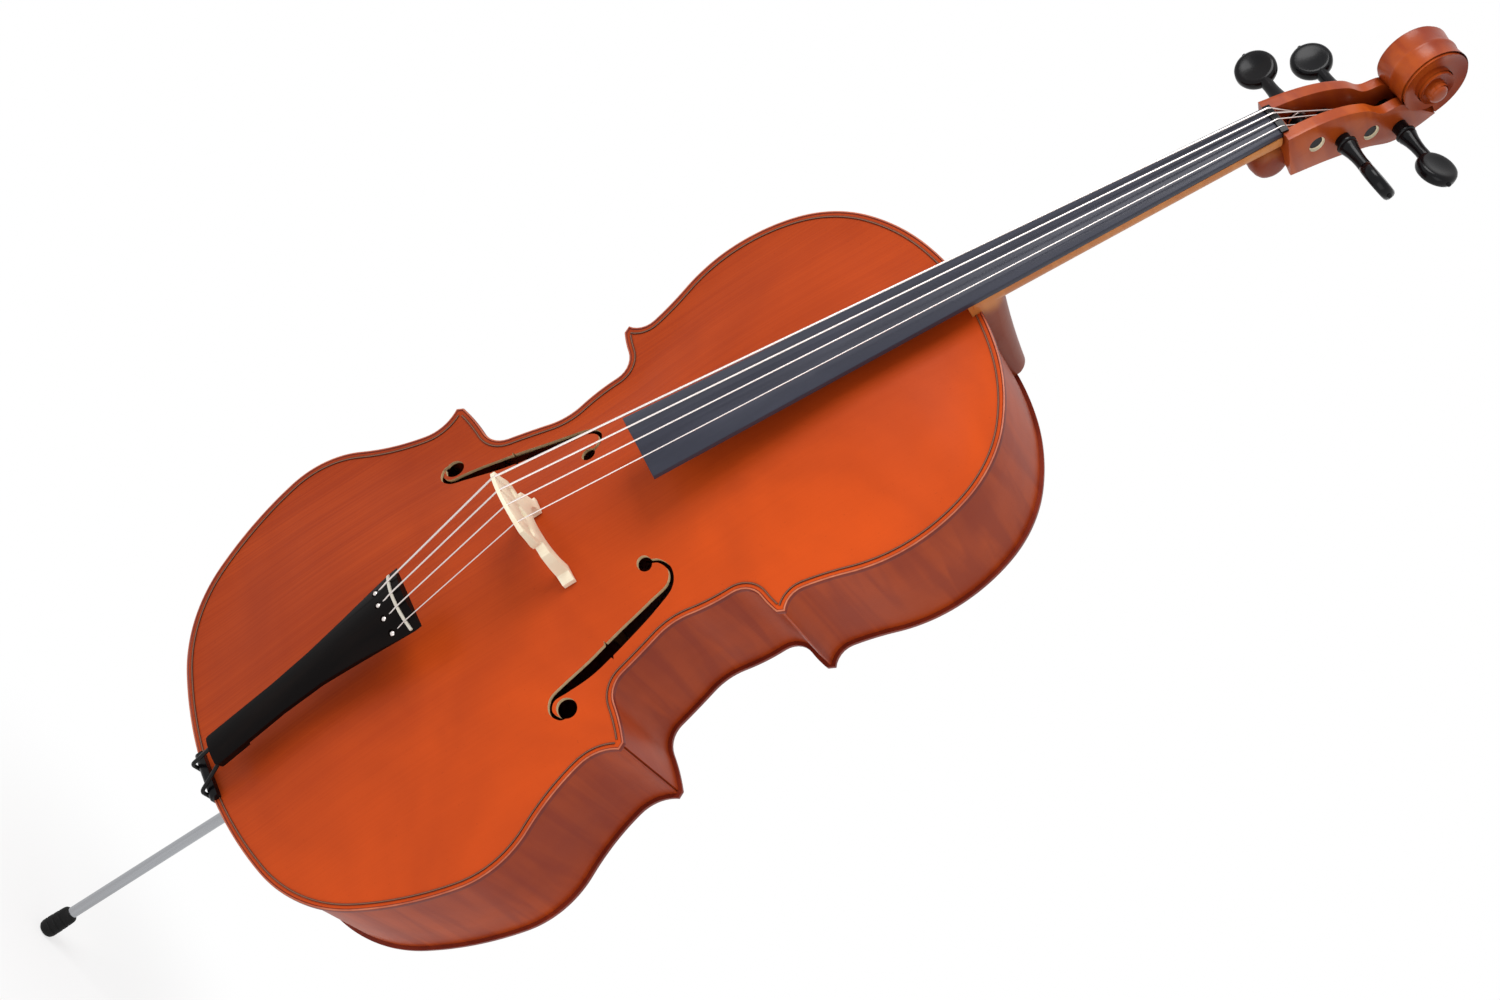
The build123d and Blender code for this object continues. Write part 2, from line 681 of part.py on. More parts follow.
def make_plates():
    """The two arched plates, and the purfling let into grooves near their edges."""
    ring = ring_faces(PURFLING_INSET, PURFLING_INSET + PURFLING_WIDTH, 4.0)
    f_cut = slab(f_hole_face(), -HALF_RIB + 5, -HALF_RIB - PLATE_ROOM)
    saddle_room = saddle_box(GLUE)
    front_room = slab(outline, -HALF_RIB, -HALF_RIB - PLATE_ROOM + 5)
    top_grooves = [slab(face, FRONT_EDGE_Y + PURFLING_DEPTH, FRONT_EDGE_Y - 3) for face in ring]
    top = front_room - top_grooves - [f_cut, other_side(f_cut), mortise, saddle_room]
    top = (top & BEHIND_TOP) - UNDER_TOP
    write("top_plate", top)
    y_button, button_width, button_reach = HEEL_SECTIONS[-1]
    button = heel_outline(button_width, button_reach)
    back_room = slab(outline + button, HALF_RIB + PLATE_ROOM - 5, HALF_RIB)
    back_grooves = [slab(face, BACK_EDGE_Y + 3, BACK_EDGE_Y - PURFLING_DEPTH) for face in ring]
    back = ((back_room - back_grooves) & BEFORE_BACK) - UNDER_BACK
    write("back_plate", back)
    front = [slab(face, FRONT_EDGE_Y + PURFLING_DEPTH, FRONT_EDGE_Y) - mortise - saddle_room for face in ring]
    write("purfling_top", Compound(children=[solid for piece in front for solid in piece.solids()]))
    rear = [slab(face, BACK_EDGE_Y, BACK_EDGE_Y - PURFLING_DEPTH) for face in ring]
    write("purfling_back", Compound(children=[solid for piece in rear for solid in piece.solids()]))


def make_ribs():
    """Six bent ribs that meet on the corners' mitre lines and at the body's centre line."""
    for name in BOUTS:
        strip = bout_strip(name, OVERHANG, RIB_IN, OVERHANG + 1)
        rib = slab(strip, HALF_RIB, -HALF_RIB)
        for side, piece in (("treble", rib), ("bass", other_side(rib))):
            write(f"rib_{name}_{side}", piece - mortise - plug_hole)


def make_inside():
    """Blocks, linings, bass bar and sound post."""
    inner = outline
    for name in BOUTS:
        for strip in both_sides(strip_face(name, -1, RIB_IN)):
            inner = inner - strip
    inner = sorted(inner.faces(), key=lambda face: face.area)[-1]
    low_block = Pos(0, BODY_Z) * Rectangle(2 * BLOCK_HALF_WIDTH, 2 * (RIB_IN + BLOCK_DEPTH))
    high_block = Pos(0, TOP_Z) * Rectangle(2 * BLOCK_HALF_WIDTH, 2 * (RIB_IN + BLOCK_DEPTH))
    end_block = slab(inner & low_block, HALF_RIB, -HALF_RIB) - plug_hole
    neck_block = slab(inner & high_block, HALF_RIB, -HALF_RIB) - mortise
    write("end_block", end_block)
    write("neck_block", neck_block)
    corners = []
    for (x, z), (ix, iz) in CORNERS:
        area = inner & (Pos(x + ix * 12, z + iz * 12) * Circle(CORNER_REACH))
        corners += [slab(face, HALF_RIB, -HALF_RIB) for face in both_sides(area.faces()[0])]
    write("corner_blocks", Compound(children=[solid for block in corners for solid in block.solids()]))
    blocks = [end_block, neck_block] + corners
    strips = ring_faces(RIB_IN, RIB_IN + LINING_THICKNESS, RIB_IN + 1)
    for name, y_rear, y_front in (
        ("linings_top", -HALF_RIB + LINING_HEIGHT, -HALF_RIB),
        ("linings_back", HALF_RIB, HALF_RIB - LINING_HEIGHT),
    ):
        linings = []
        for strip in strips:
            linings += (slab(strip, y_rear, y_front) - blocks - plug_hole - mortise).solids()
        write(name, Compound(children=[lining for lining in linings if lining.volume > 500]))

    glue_top = Pos(0, GLUE, 0) * UNDER_TOP
    glue_back = Pos(0, -GLUE, 0) * UNDER_BACK
    low, high = BODY_Z + BAR_SPAN[0], BODY_Z + BAR_SPAN[1]
    base = FRONT_EDGE_Y + PLATE_THICKNESS
    bar_side = Plane.YZ * Face(Polyline(
        (base - 40, low), (base, low), (base + BAR_DEPTH - 12, low + 130), (base + BAR_DEPTH - 12, high - 130),
        (base, high), (base - 40, high), close=True,
    ).wire())
    bar = Pos(BAR_X, 0, 0) * extrude(bar_side, amount=BAR_THICK / 2, both=True)
    write("bass_bar", bar & glue_top)
    post = Pos(POST_X, 0, BRIDGE_Z - POST_BELOW_BRIDGE) * Rot(90, 0, 0) * Cylinder(POST_RADIUS, 200)
    write("sound_post", post & glue_top & glue_back)


# ---------------------------------------------------------------- bridge
BRIDGE_FOOT_INSIDE = 29.0
BRIDGE_WAIST = 25.0
BRIDGE_CROWN_HALF = 31.0
CROWN_OVER = 1.0             # wood above the string centres, beside each groove


def bridge_solid():
    """The bridge, standing on the top with its feet cut to the arch."""
    foot_y = FRONT_EDGE_Y - arch_height(BRIDGE_FOOT_SPREAD - 6, BRIDGE_Z - BODY_Z, TOP_ARCH)
    crown = abs(CROWN_Y - foot_y)
    right_y = crown - (crown_y(BRIDGE_CROWN_HALF) - CROWN_Y)
    left_y = crown - (crown_y(-BRIDGE_CROWN_HALF) - CROWN_Y)
    half = [(BRIDGE_FOOT_SPREAD, -8), (BRIDGE_FOOT_SPREAD, 4), (BRIDGE_FOOT_SPREAD - 7, 9),
            (BRIDGE_FOOT_SPREAD - 8, 24), (BRIDGE_FOOT_SPREAD - 12, 37), (BRIDGE_WAIST, 43), (BRIDGE_WAIST, 48),
            (BRIDGE_WAIST + 7, 52), (BRIDGE_WAIST + 9, 60), (BRIDGE_CROWN_HALF + 1, 70)]
    right = half + [(BRIDGE_CROWN_HALF, right_y - 1)]
    left = [(-x, h) for x, h in reversed(half)]
    left = [(-BRIDGE_CROWN_HALF, left_y - 1)] + left
    inside = BRIDGE_FOOT_INSIDE
    edges = list(Polyline(*right).edges()) + list(Polyline(*left).edges())
    face = Face(Wire(edges + [
        ThreePointArc(right[-1], (0, crown + CROWN_OVER), left[0]),
        Line(left[-1], (-inside, -8)),
        Line((-inside, -8), (-inside, 8)),
        ThreePointArc((-inside, 8), (0, 36), (inside, 8)),
        Line((inside, 8), (inside, -8)),
        Line((inside, -8), right[0]),
    ]))
    heart = Pos(0, 55) * RegularPolygon(7.5, 3, rotation=-90) + Pos(-3.6, 59) * Circle(4) + Pos(3.6, 59) * Circle(4)
    kidneys = [Pos(side * 21, 59) * Ellipse(5.5, 4) for side in (-1, 1)]
    face = face - heart - kidneys
    # local x is X, local y stands out of the top, and the normal runs along the instrument
    stand = Plane(origin=(0, foot_y, BRIDGE_Z), x_dir=(1, 0, 0), z_dir=(0, 0, -1))
    blank = extrude(stand * face, amount=BRIDGE_THICK_FOOT, both=True)
    deep, thin = BRIDGE_THICK_FOOT / 2, BRIDGE_THICK_TOP / 2
    wedge = Plane.YZ * Face(Polyline(
        (foot_y + 10, BRIDGE_Z - deep), (foot_y - 8, BRIDGE_Z - deep), (CROWN_Y - 3, BRIDGE_Z - thin),
        (CROWN_Y - 3, BRIDGE_Z + thin), (foot_y - 8, BRIDGE_Z + deep), (foot_y + 10, BRIDGE_Z + deep), close=True,
    ).wire())
    blank = blank & extrude(wedge, amount=60, both=True)
    return blank - (Pos(0, -GLUE, 0) * BEHIND_TOP) - list(grooves.values())


# ---------------------------------------------------------------- tailpiece and its gut
TAIL_WIDE_HALF = 32.0
# The tailpiece's concave side: half-width at distances down from the wide end.
TAIL_SIDE = [(TAIL_WIDE_HALF, 0), (28.5, 22), (21.5, 62), (16.5, 102), (14.5, 145), (15.0, TAIL_LENGTH)]
TAIL_SHELL = 4.5
GUT_RADIUS = 1.8
GUT_X = 7.0
GUT_BEND = 6.0
NECK_RADIUS = 12.2           # groove of the endpin's collar
GUT_Z = BODY_Z - GUT_RADIUS - 0.3


def tail_plane():
    """Frame of the tailpiece: x is X, y stands out of it, z runs down it from the wide end."""
    x, y, z = tail_point(0, 0, 0)
    _, y_down, z_down = tail_point(0, 1, 0)
    return Plane(origin=(x, y, z), x_dir=(1, 0, 0), z_dir=(0, y_down - y, z_down - z))


def tail_blank():
    """The tailpiece's outline, as thick as its crown."""
    points = TAIL_SIDE + [(-half, down) for half, down in reversed(TAIL_SIDE)]
    face = Face(Polyline(*points, close=True).wire())
    return extrude(body_plane(-20) * face, amount=60, dir=(0, 1, 0))


def tail_round(radius, centre, low=-5.0, high=5.0):
    """A long cylinder that gives the tailpiece its crown."""
    length = TAIL_LENGTH + high - low
    return Pos(0, centre, low + length / 2) * Cylinder(radius, length)


def make_tailpiece():
    """The tailpiece, its fret and the tail gut."""
    place = tail_plane()
    centre = TAIL_THICKNESS - TAIL_CROWN_RADIUS
    crown = tail_round(TAIL_CROWN_RADIUS, centre)
    blank = tail_blank() & crown
    under = tail_round(TAIL_CROWN_RADIUS - TAIL_SHELL, centre, low=12, high=-34)
    floor = Pos(0, -50, TAIL_LENGTH / 2) * Box(100, 100, TAIL_LENGTH + 20)
    blank = blank - under - floor
    fret_room = Pos(0, 0, FRET_DOWN) * Box(100, 80, 2.4)
    fret_ring = (
        tail_round(TAIL_CROWN_RADIUS + FRET_RISE, centre) - tail_round(TAIL_CROWN_RADIUS - 1.2, centre)
    )
    fret = (fret_ring & fret_room) & (Pos(0, 40, FRET_DOWN) * Box(2 * TAIL_WIDE_HALF - 6, 90, 3))
    blank = blank - fret
    holes = []
    for _, x_tail, _, _, _ in STRINGS.values():
        holes.append(Pos(x_tail, 5, SLOT_DOWN) * Rot(90, 0, 0) * Cylinder(BALL_RADIUS + 0.4, 40))
    tail = place * (blank - holes) - gut_solid(GLUE)
    write("tailpiece", tail - list(grooves.values()))
    write("tailpiece_fret", (place * fret) - list(grooves.values()))
    write("tail_gut", gut_solid())


def gut_solid(grow=0.0):
    """The loop of gut from the tailpiece over the saddle and round the endpin's collar."""
    start = tail_point(GUT_X, TAIL_LENGTH - 11.5, 3.6)
    turn = NECK_RADIUS + GUT_RADIUS + 0.3
    over = (turn, -HALF_RIB - EDGE_THICKNESS - SADDLE_PROUD - GUT_RADIUS - 0.3, GUT_Z)
    round_back = (turn, turn, GUT_Z)
    treble = [start, over, round_back]
    points = treble + [(-x, y, z) for x, y, z in reversed(treble)]
    path = FilletPolyline(*points, radius=[GUT_BEND, turn - 0.4, turn - 0.4, GUT_BEND])
    profile = Plane(origin=path @ 0, z_dir=path % 0) * Circle(GUT_RADIUS + grow)
    return sweep(profile, path=path)


def saddle_solid():
    """The saddle, with its outer top edge rounded for the gut."""
    block = saddle_box()
    edge = block.edges().filter_by(Axis.X).sort_by(Axis.Y)[:2].sort_by(Axis.Z)[0]
    return fillet(edge, GUT_BEND - 1)


# ---------------------------------------------------------------- endpin
DISC_TOP = GUT_Z - GUT_RADIUS - 0.6
DISC_HEIGHT = COLLAR_LENGTH - (BODY_Z + OVERHANG - DISC_TOP)
DISC_LOW = DISC_TOP - DISC_HEIGHT
SCREW_Z = DISC_LOW + DISC_HEIGHT / 2
TIP_LENGTH = 30.0
TIP_SOCKET = 18.0


def upright(radius, low, high):
    """A cylinder on the Z axis between two heights."""
    return Pos(0, 0, (low + high) / 2) * Cylinder(radius, high - low)


def make_endpin():
    """Collar and plug, sliding rod, rubber tip and thumb screw."""
    seat = BODY_Z + OVERHANG
    disc = upright(COLLAR_RADIUS, DISC_LOW, DISC_TOP)
    disc = fillet(disc.edges().sort_by(Axis.Z)[0], 3)
    collar = disc + upright(NECK_RADIUS, DISC_TOP, seat) + upright(PLUG_RADIUS, seat, PLUG_TOP)
    collar = collar - upright(TUBE_RADIUS + RUNNING, DISC_LOW - 1, PLUG_TOP + 1)
    screw_axis = Pos(0, 0, SCREW_Z) * Rot(0, 90, 0)
    screw_hole = Cylinder(SCREW_RADIUS + RUNNING, COLLAR_RADIUS + 10)
    collar = collar - screw_axis * Pos(0, 0, COLLAR_RADIUS / 2 + 5) * screw_hole
    write("endpin_collar", collar)
    tip = upright(TIP_RADIUS, 0, TIP_LENGTH)
    tip = fillet(tip.edges().sort_by(Axis.Z)[0], 4)
    socket = upright(TUBE_RADIUS, TIP_LENGTH - TIP_SOCKET, TIP_LENGTH)
    write("endpin_tip", tip - socket)
    rod = upright(TUBE_RADIUS, TIP_LENGTH - TIP_SOCKET, TIP_LENGTH - TIP_SOCKET + TUBE_LENGTH)
    write("endpin_rod", rod)
    start = TUBE_RADIUS + 0.4
    on_end = (Align.CENTER, Align.CENTER, Align.MIN)
    shaft = Pos(0, 0, start) * Cylinder(SCREW_RADIUS, COLLAR_RADIUS + 3 - start, align=on_end)
    head = Pos(0, 0, COLLAR_RADIUS + 3) * Cylinder(SCREW_HEAD_RADIUS, 6, align=on_end)
    write("thumb_screw", screw_axis * (shaft + head))


# ---------------------------------------------------------------- pegs and strings
PEG_COLLAR = (27.0, 32.0, 9.0)     # from, to, radius
PEG_HEAD_THICK = 11.0


def make_pegs():
    """The tuning pegs, each with the turns of its string."""
    for name, (side, _, _, turn) in PEGS.items():
        plane = peg_plane(name, turn)
        start, end, radius = PEG_COLLAR
        peg = taper_pin(-PEG_SMALL_END, start, 0.0)
        peg = peg + Pos(0, 0, (start + end) / 2) * Cylinder(radius, end - start)
        reach = PEG_HEAD_CENTRE - PEG_HEAD_RADIUS + 4 - end
        peg = peg + Pos(0, 0, end + reach / 2) * Cone(8.0, 5.2, reach)
        disc = Cylinder(PEG_HEAD_RADIUS, PEG_HEAD_THICK)
        disc = fillet(disc.edges(), 4)
        peg = peg + Pos(0, 0, PEG_HEAD_CENTRE) * Rot(90, 0, 0) * disc
        peg = peg + Pos(0, 0, PEG_HEAD_CENTRE + PEG_HEAD_RADIUS) * Sphere(2.6)
        write(f"peg_{name}", plane * peg)
        middle = STRINGS[name][4] * side
        coil = Pos(0, 0, middle) * Cylinder(coil_radius(name)[1], COIL_WIDTH)
        bore = taper_pin(middle - COIL_WIDTH, middle + COIL_WIDTH, 0.02)
        write(f"winding_{name}", plane * (coil - bore))
        ball = Pos(*string_points(name)[0]) * Sphere(BALL_RADIUS)
        write(f"string_{name}", strings[name] + ball)


def main():
    """Builds and writes every piece."""
    os.makedirs("parts", exist_ok=True)
    make_plates()
    make_ribs()
    make_inside()
    write("neck_and_scroll", neck_and_scroll())
    write("fingerboard", fingerboard())
    write("nut", nut_solid())
    write("bridge", bridge_solid())
    write("saddle", saddle_solid())
    make_tailpiece()
    make_endpin()
    make_pegs()
    for name, solids in written:
        print(name, solids)


main()
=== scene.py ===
"""A full-size cello: the finished look of its pieces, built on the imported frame."""
import bmesh
import bpy
import math
from mathutils import Matrix, Vector


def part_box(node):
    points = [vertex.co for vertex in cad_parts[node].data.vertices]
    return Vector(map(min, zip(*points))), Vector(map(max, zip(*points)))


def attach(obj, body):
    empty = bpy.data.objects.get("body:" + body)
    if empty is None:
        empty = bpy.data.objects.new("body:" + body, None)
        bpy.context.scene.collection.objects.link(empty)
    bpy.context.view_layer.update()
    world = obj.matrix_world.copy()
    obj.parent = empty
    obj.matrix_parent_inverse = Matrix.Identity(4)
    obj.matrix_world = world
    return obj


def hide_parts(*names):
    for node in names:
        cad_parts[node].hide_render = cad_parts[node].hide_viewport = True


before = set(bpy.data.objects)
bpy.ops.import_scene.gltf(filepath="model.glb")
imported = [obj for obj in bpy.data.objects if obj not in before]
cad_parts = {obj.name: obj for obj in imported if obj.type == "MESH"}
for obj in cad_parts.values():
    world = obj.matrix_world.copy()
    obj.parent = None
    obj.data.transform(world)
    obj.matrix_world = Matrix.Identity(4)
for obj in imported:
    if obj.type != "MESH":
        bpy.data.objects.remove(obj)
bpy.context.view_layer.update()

# ---------------------------------------------------------------- sizes, in millimetres
MM = 0.001                                   # in metres


def low(node):
    """A node's lowest corner, in millimetres."""
    return Vector(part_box(node)[0]) / MM


def high(node):
    """A node's highest corner, in millimetres."""
    return Vector(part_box(node)[1]) / MM


BODY_Z = low("top_plate").z                  # the body's lower edge
BODY_LENGTH = 761.0
HALF_RIB = high("rib_lower_treble").y
EDGE_THICKNESS = 4.5
FRONT_EDGE_Y = -(HALF_RIB + EDGE_THICKNESS)
BACK_EDGE_Y = HALF_RIB + EDGE_THICKNESS
TOP_ARCH = FRONT_EDGE_Y - low("top_plate").y
BACK_ARCH = high("back_plate").y - BACK_EDGE_Y
PLATE_THICKNESS = 4.8
RIB_THICKNESS = 1.6
OVERHANG = 3.5
PURFLING_INSET = 5.0
PURFLING_PLIES = (0.45, 0.5, 0.45)
NUT_Z = low("nut").z + 0.05
GRID = 6.0                                   # spacing of the plates' mesh
GRID_SHIFT = 0.013                           # keeps the grid's lines off the outline's own points
ARC_STEP = 4.0                               # spacing of the points along the outline
PIECE_WELD, TURNED_WELD, CAD_WELD = 0.002, 0.001, 0.003
CAD_FLAT = 0.6                               # degrees within which a CAD mesh's faces count as one plane
VERT, EDGE, FACE = bmesh.types.BMVert, bmesh.types.BMEdge, bmesh.types.BMFace


# ---------------------------------------------------------------- mesh helpers
def picked(items, kind):
    """The vertices, edges or faces among what an operator gives back."""
    return [item for item in items if isinstance(item, kind)]


def sharpen(bm, degrees):
    """Smooth shading, broken at edges that turn by more than some degrees."""
    limit = math.radians(degrees)
    for face in bm.faces:
        face.smooth = True
    for edge in bm.edges:
        if len(edge.link_faces) == 2:
            edge.smooth = edge.calc_face_angle(0.0) < limit


def make_object(bm, name, materials):
    """Turns a bmesh in millimetres into an object in metres, with its place in its mesh."""
    bmesh.ops.scale(bm, vec=(MM, MM, MM), verts=bm.verts)
    mesh = bpy.data.meshes.new(name)
    bm.to_mesh(mesh)
    bm.free()
    piece = bpy.data.objects.new(name, mesh)
    bpy.context.scene.collection.objects.link(piece)
    for material in materials:
        mesh.materials.append(material)
    return piece


def make_piece(bm, name, materials, body, nodes, degrees=35, recalc=True):
    """A finished piece that rides on a body and stands for CAD nodes."""
    if recalc:
        bmesh.ops.remove_doubles(bm, verts=bm.verts, dist=PIECE_WELD)
        bmesh.ops.recalc_face_normals(bm, faces=bm.faces)
    sharpen(bm, degrees)
    piece = make_object(bm, name, materials)
    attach(piece, body)
    for node in nodes:
        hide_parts(node)
    return piece


def apply_modifiers(piece, degrees=35):
    """Replaces a piece's mesh by what its modifiers make of it."""
    graph = bpy.context.evaluated_depsgraph_get()
    mesh = bpy.data.meshes.new_from_object(piece.evaluated_get(graph))
    mesh.name = piece.name
    piece.modifiers.clear()
    piece.data = mesh
    bm = bmesh.new()
    bm.from_mesh(mesh)
    sharpen(bm, degrees)
    bm.to_mesh(mesh)
    bm.free()


def cut(piece, cutters, degrees=35, material=0):
    """Cuts the cutters' bmeshes, in millimetres, out of a piece; material is for the cut faces."""
    for number, bm in enumerate(cutters):
        bmesh.ops.recalc_face_normals(bm, faces=bm.faces)
        for face in bm.faces:
            face.material_index = material
        tool = make_object(bm, f"cutter_{number}", list(piece.data.materials))
        modifier = piece.modifiers.new("cut", "BOOLEAN")
        modifier.operation = "DIFFERENCE"
        modifier.solver = "EXACT"
        modifier.object = tool
        apply_modifiers(piece, degrees)
        bpy.data.objects.remove(tool)


def take_in(bm, other, side=1, material=0):
    """Adds another bmesh to this one, mirrored when side is -1."""
    bmesh.ops.recalc_face_normals(other, faces=other.faces)
    for face in other.faces:
        face.material_index = material
    if side < 0:
        bmesh.ops.scale(other, vec=(-1, 1, 1), verts=other.verts)
        bmesh.ops.reverse_faces(other, faces=other.faces)
    mesh = bpy.data.meshes.new("part")
    other.to_mesh(mesh)
    other.free()
    bm.from_mesh(mesh)
    bpy.data.meshes.remove(mesh)


def turned(bm, profile, place, closed=False, segments=48):
    """A turned solid: profile holds (distance along the axis, radius), and the axis is place's own x."""
    part = bmesh.new()
    verts = [part.verts.new((along, radius, 0)) for along, radius in profile]
    edges = [part.edges.new(pair) for pair in zip(verts, verts[1:])]
    if closed:
        edges.append(part.edges.new((verts[-1], verts[0])))
    bmesh.ops.spin(
        part, geom=verts + edges, cent=(0, 0, 0), axis=(1, 0, 0), angle=math.tau, steps=segments,
        use_merge=True,
    )
    bmesh.ops.remove_doubles(part, verts=part.verts, dist=TURNED_WELD)
    bmesh.ops.transform(part, matrix=place, verts=part.verts)
    take_in(bm, part)


def flat_face(bm, points):
    """A flat face with some corners."""
    verts = [bm.verts.new(point) for point in points]
    return bmesh.ops.contextual_create(bm, geom=verts)["faces"][0]


def sweep_ring(bm, ring, moves):
    """Carries a ring of edges along by one matrix after another, and closes the tube at its far end."""
    for move in moves:
        grown = bmesh.ops.extrude_edge_only(bm, edges=ring)["geom"]
        ring = [edge for edge in picked(grown, EDGE) if len(edge.link_faces) == 1]
        bmesh.ops.transform(bm, matrix=move, verts=picked(grown, VERT))
    bmesh.ops.contextual_create(bm, geom=ring)


def extrude_depth(bm, distance):
    """Extrudes flat faces from front to back by a distance."""
    grown = bmesh.ops.extrude_face_region(bm, geom=bm.faces[:])["geom"]
    bmesh.ops.translate(bm, verts=picked(grown, VERT), vec=(0, distance, 0))


def cad_copy(node):
    """A merged copy of a CAD node's mesh, in millimetres."""
    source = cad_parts[node]
    bm = bmesh.new()
    bm.from_mesh(source.data)
    to_millimetres = Matrix.Diagonal((1 / MM, 1 / MM, 1 / MM, 1))
    bmesh.ops.transform(bm, matrix=to_millimetres @ source.matrix_world, verts=bm.verts)
    bmesh.ops.remove_doubles(bm, verts=bm.verts, dist=CAD_WELD)
    bmesh.ops.dissolve_limit(bm, angle_limit=math.radians(CAD_FLAT), verts=bm.verts, edges=bm.edges)
    return bm


def round_edges(bm, edges, width, segments=2):
    """Rounds off some edges."""
    bmesh.ops.bevel(
        bm, geom=edges, offset=width, offset_type="OFFSET", segments=segments, profile=0.5, affect="EDGES",
        clamp_overlap=True, material=-1,
    )


def soften(bm, width, degrees=45):
    """Rounds off the edges of a mesh that turn by more than some degrees."""
    limit = math.radians(degrees)
    edges = [edge for edge in bm.edges if len(edge.link_faces) == 2 and edge.calc_face_angle(0.0) > limit]
    round_edges(bm, edges, width)


def arc_along(bm, vert, centre, angle, step):
    """Draws an arc of edges from a vertex about an axis from front to back, and gives its last vertex."""
    count = max(2, round(abs(angle) * (vert.co - centre).length / step))
    turn = Matrix.Rotation(-angle / count, 3, "Y")
    for _ in range(count):
        grown = bmesh.ops.extrude_vert_indiv(bm, verts=[vert])
        start, vert = vert, grown["verts"][0]
        vert.co = start.co
        bmesh.ops.rotate(bm, verts=[vert], cent=centre, matrix=turn)
    return vert


# ---------------------------------------------------------------- the body's outline
# Chains of tangent arcs on the treble side: their joints as (x, height above the lower edge).
LOWER_BOUT = [(0, 0), (105, 16), (183, 79), (217.5, 168), (206, 239), (181, 298), (188, 333)]
C_BOUT = [
    (184.5, 339), (150, 346), (130, 363), (119, 401), (117.5, 433), (121.5, 471), (138, 490), (158, 495),
]
UPPER_BOUT = [
    (0, 761), (62, 753.5), (122, 726), (163, 672), (173, 618), (163, 560), (152, 523), (161.5, 501.5),
]
# For each bout: its joints, its direction at the first joint, and the side of that which faces inwards.
BOUTS = {
    "lower": (LOWER_BOUT, (1, 0), 1),
    "c": (C_BOUT, (-0.95, 0.30), 1),
    "upper": (UPPER_BOUT, (1, 0), -1),
}


def bout_wire(bm, name, inset, y, trim=0.0):
    """The edges of one treble-side bout, moved inwards; gives its first and last vertex.

    trim shortens it at each end that meets a corner.
    """
    points, direction, inside = BOUTS[name]
    tangent = Vector(direction).normalized()
    normal = Vector((-tangent.y, tangent.x))
    start = Vector(points[0]) + normal * inside * inset
    first = vert = bm.verts.new((start.x, y, BODY_Z + start.y))
    for number, (a, b) in enumerate(zip(points, points[1:])):
        chord = Vector(b) - Vector(a)
        normal = Vector((-tangent.y, tangent.x))
        radius = chord.length_squared / (2 * normal.dot(chord))
        middle = Vector(a) + normal * radius
        centre = Vector((middle.x, y, BODY_Z + middle.y))
        angle = 2 * math.atan2(tangent.cross(chord), tangent.dot(chord))
        tangent = Matrix.Rotation(angle, 2) @ tangent
        cut_back = math.copysign(trim / abs(radius), angle)
        if number == 0 and name == "c":
            back = Matrix.Rotation(-cut_back, 3, "Y")
            bmesh.ops.rotate(bm, verts=[vert], cent=centre, matrix=back)
            angle -= cut_back
        if number == len(points) - 2:
            angle -= cut_back
        vert = arc_along(bm, vert, centre, angle, ARC_STEP)
    return first, vert


def bout_strip(name, outer, inner, y_from, y_to, trim):
    """A strip between two insets of one treble-side bout, as a solid from one depth to another."""
    bm = bmesh.new()
    ends = bout_wire(bm, name, outer, y_from, trim)
    others = bout_wire(bm, name, inner, y_from, trim)
    for a, b in zip(ends, others):
        bmesh.ops.contextual_create(bm, geom=[a, b])
    bmesh.ops.contextual_create(bm, geom=bm.edges[:])
    extrude_depth(bm, y_to - y_from)
    return bm


def outline_mesh(y):
    """A face with the outline of the plates."""
    bm = bmesh.new()
    _, lower_end = bout_wire(bm, "lower", 0, y)
    waist_start, waist_end = bout_wire(bm, "c", 0, y)
    _, upper_end = bout_wire(bm, "upper", 0, y)
    bmesh.ops.contextual_create(bm, geom=[lower_end, waist_start])
    bmesh.ops.contextual_create(bm, geom=[waist_end, upper_end])
    half = bm.verts[:] + bm.edges[:]
    bmesh.ops.mirror(bm, geom=half, matrix=Matrix.Identity(4), merge_dist=0.01, axis="X")
    bmesh.ops.contextual_create(bm, geom=bm.edges[:])
    return bm


def inset(bm, face, distance):
    """Insets a flat face all round, and gives the ring of new faces."""
    made = bmesh.ops.inset_region(
        bm, faces=[face], thickness=distance, use_boundary=True, use_even_offset=True,
    )
    return made["faces"]


# ---------------------------------------------------------------- arching
# Height above the lower edge, and half-width of the arched part there.
ARCH_WIDTH = [(0, 60), (60, 140), (120, 190), (170, 204), (240, 190), (300, 158), (350, 122), (400, 107),
              (440, 105), (480, 109), (520, 130), (570, 152), (620, 160), (670, 147), (720, 105), (761, 55)]
ARCH_MARGIN = 10.0


def arch_half_width(v):
    """Half-width of the arched part of a plate at height v, eased between its stations."""
    v = min(max(v, 0.0), ARCH_WIDTH[-1][0])
    for (v0, w0), (v1, w1) in zip(ARCH_WIDTH, ARCH_WIDTH[1:]):
        if v <= v1:
            share = (v - v0) / (v1 - v0)
            ease = share * share * (3 - 2 * share)
            return w0 + (w1 - w0) * (share + ease) / 2
    return ARCH_WIDTH[-1][1]


def arch_height(x, z, rise):
    """Height of a plate's outer face above its edge."""
    v = z - BODY_Z
    along = (v - BODY_LENGTH / 2) / (BODY_LENGTH / 2 - ARCH_MARGIN)
    across = x / arch_half_width(v)
    if abs(along) >= 1 or abs(across) >= 1:
        return 0.0
    return rise * (1 - along**4) ** 1.5 * (1 - across**2) ** 1.5


# ---------------------------------------------------------------- shader helpers
def new_material(name):
    """A material with its node tree, its shader and its output."""
    material = bpy.data.materials.new(name)
    material.use_nodes = True
    shader = material.node_tree.nodes["Principled BSDF"]
    return material, material.node_tree, shader


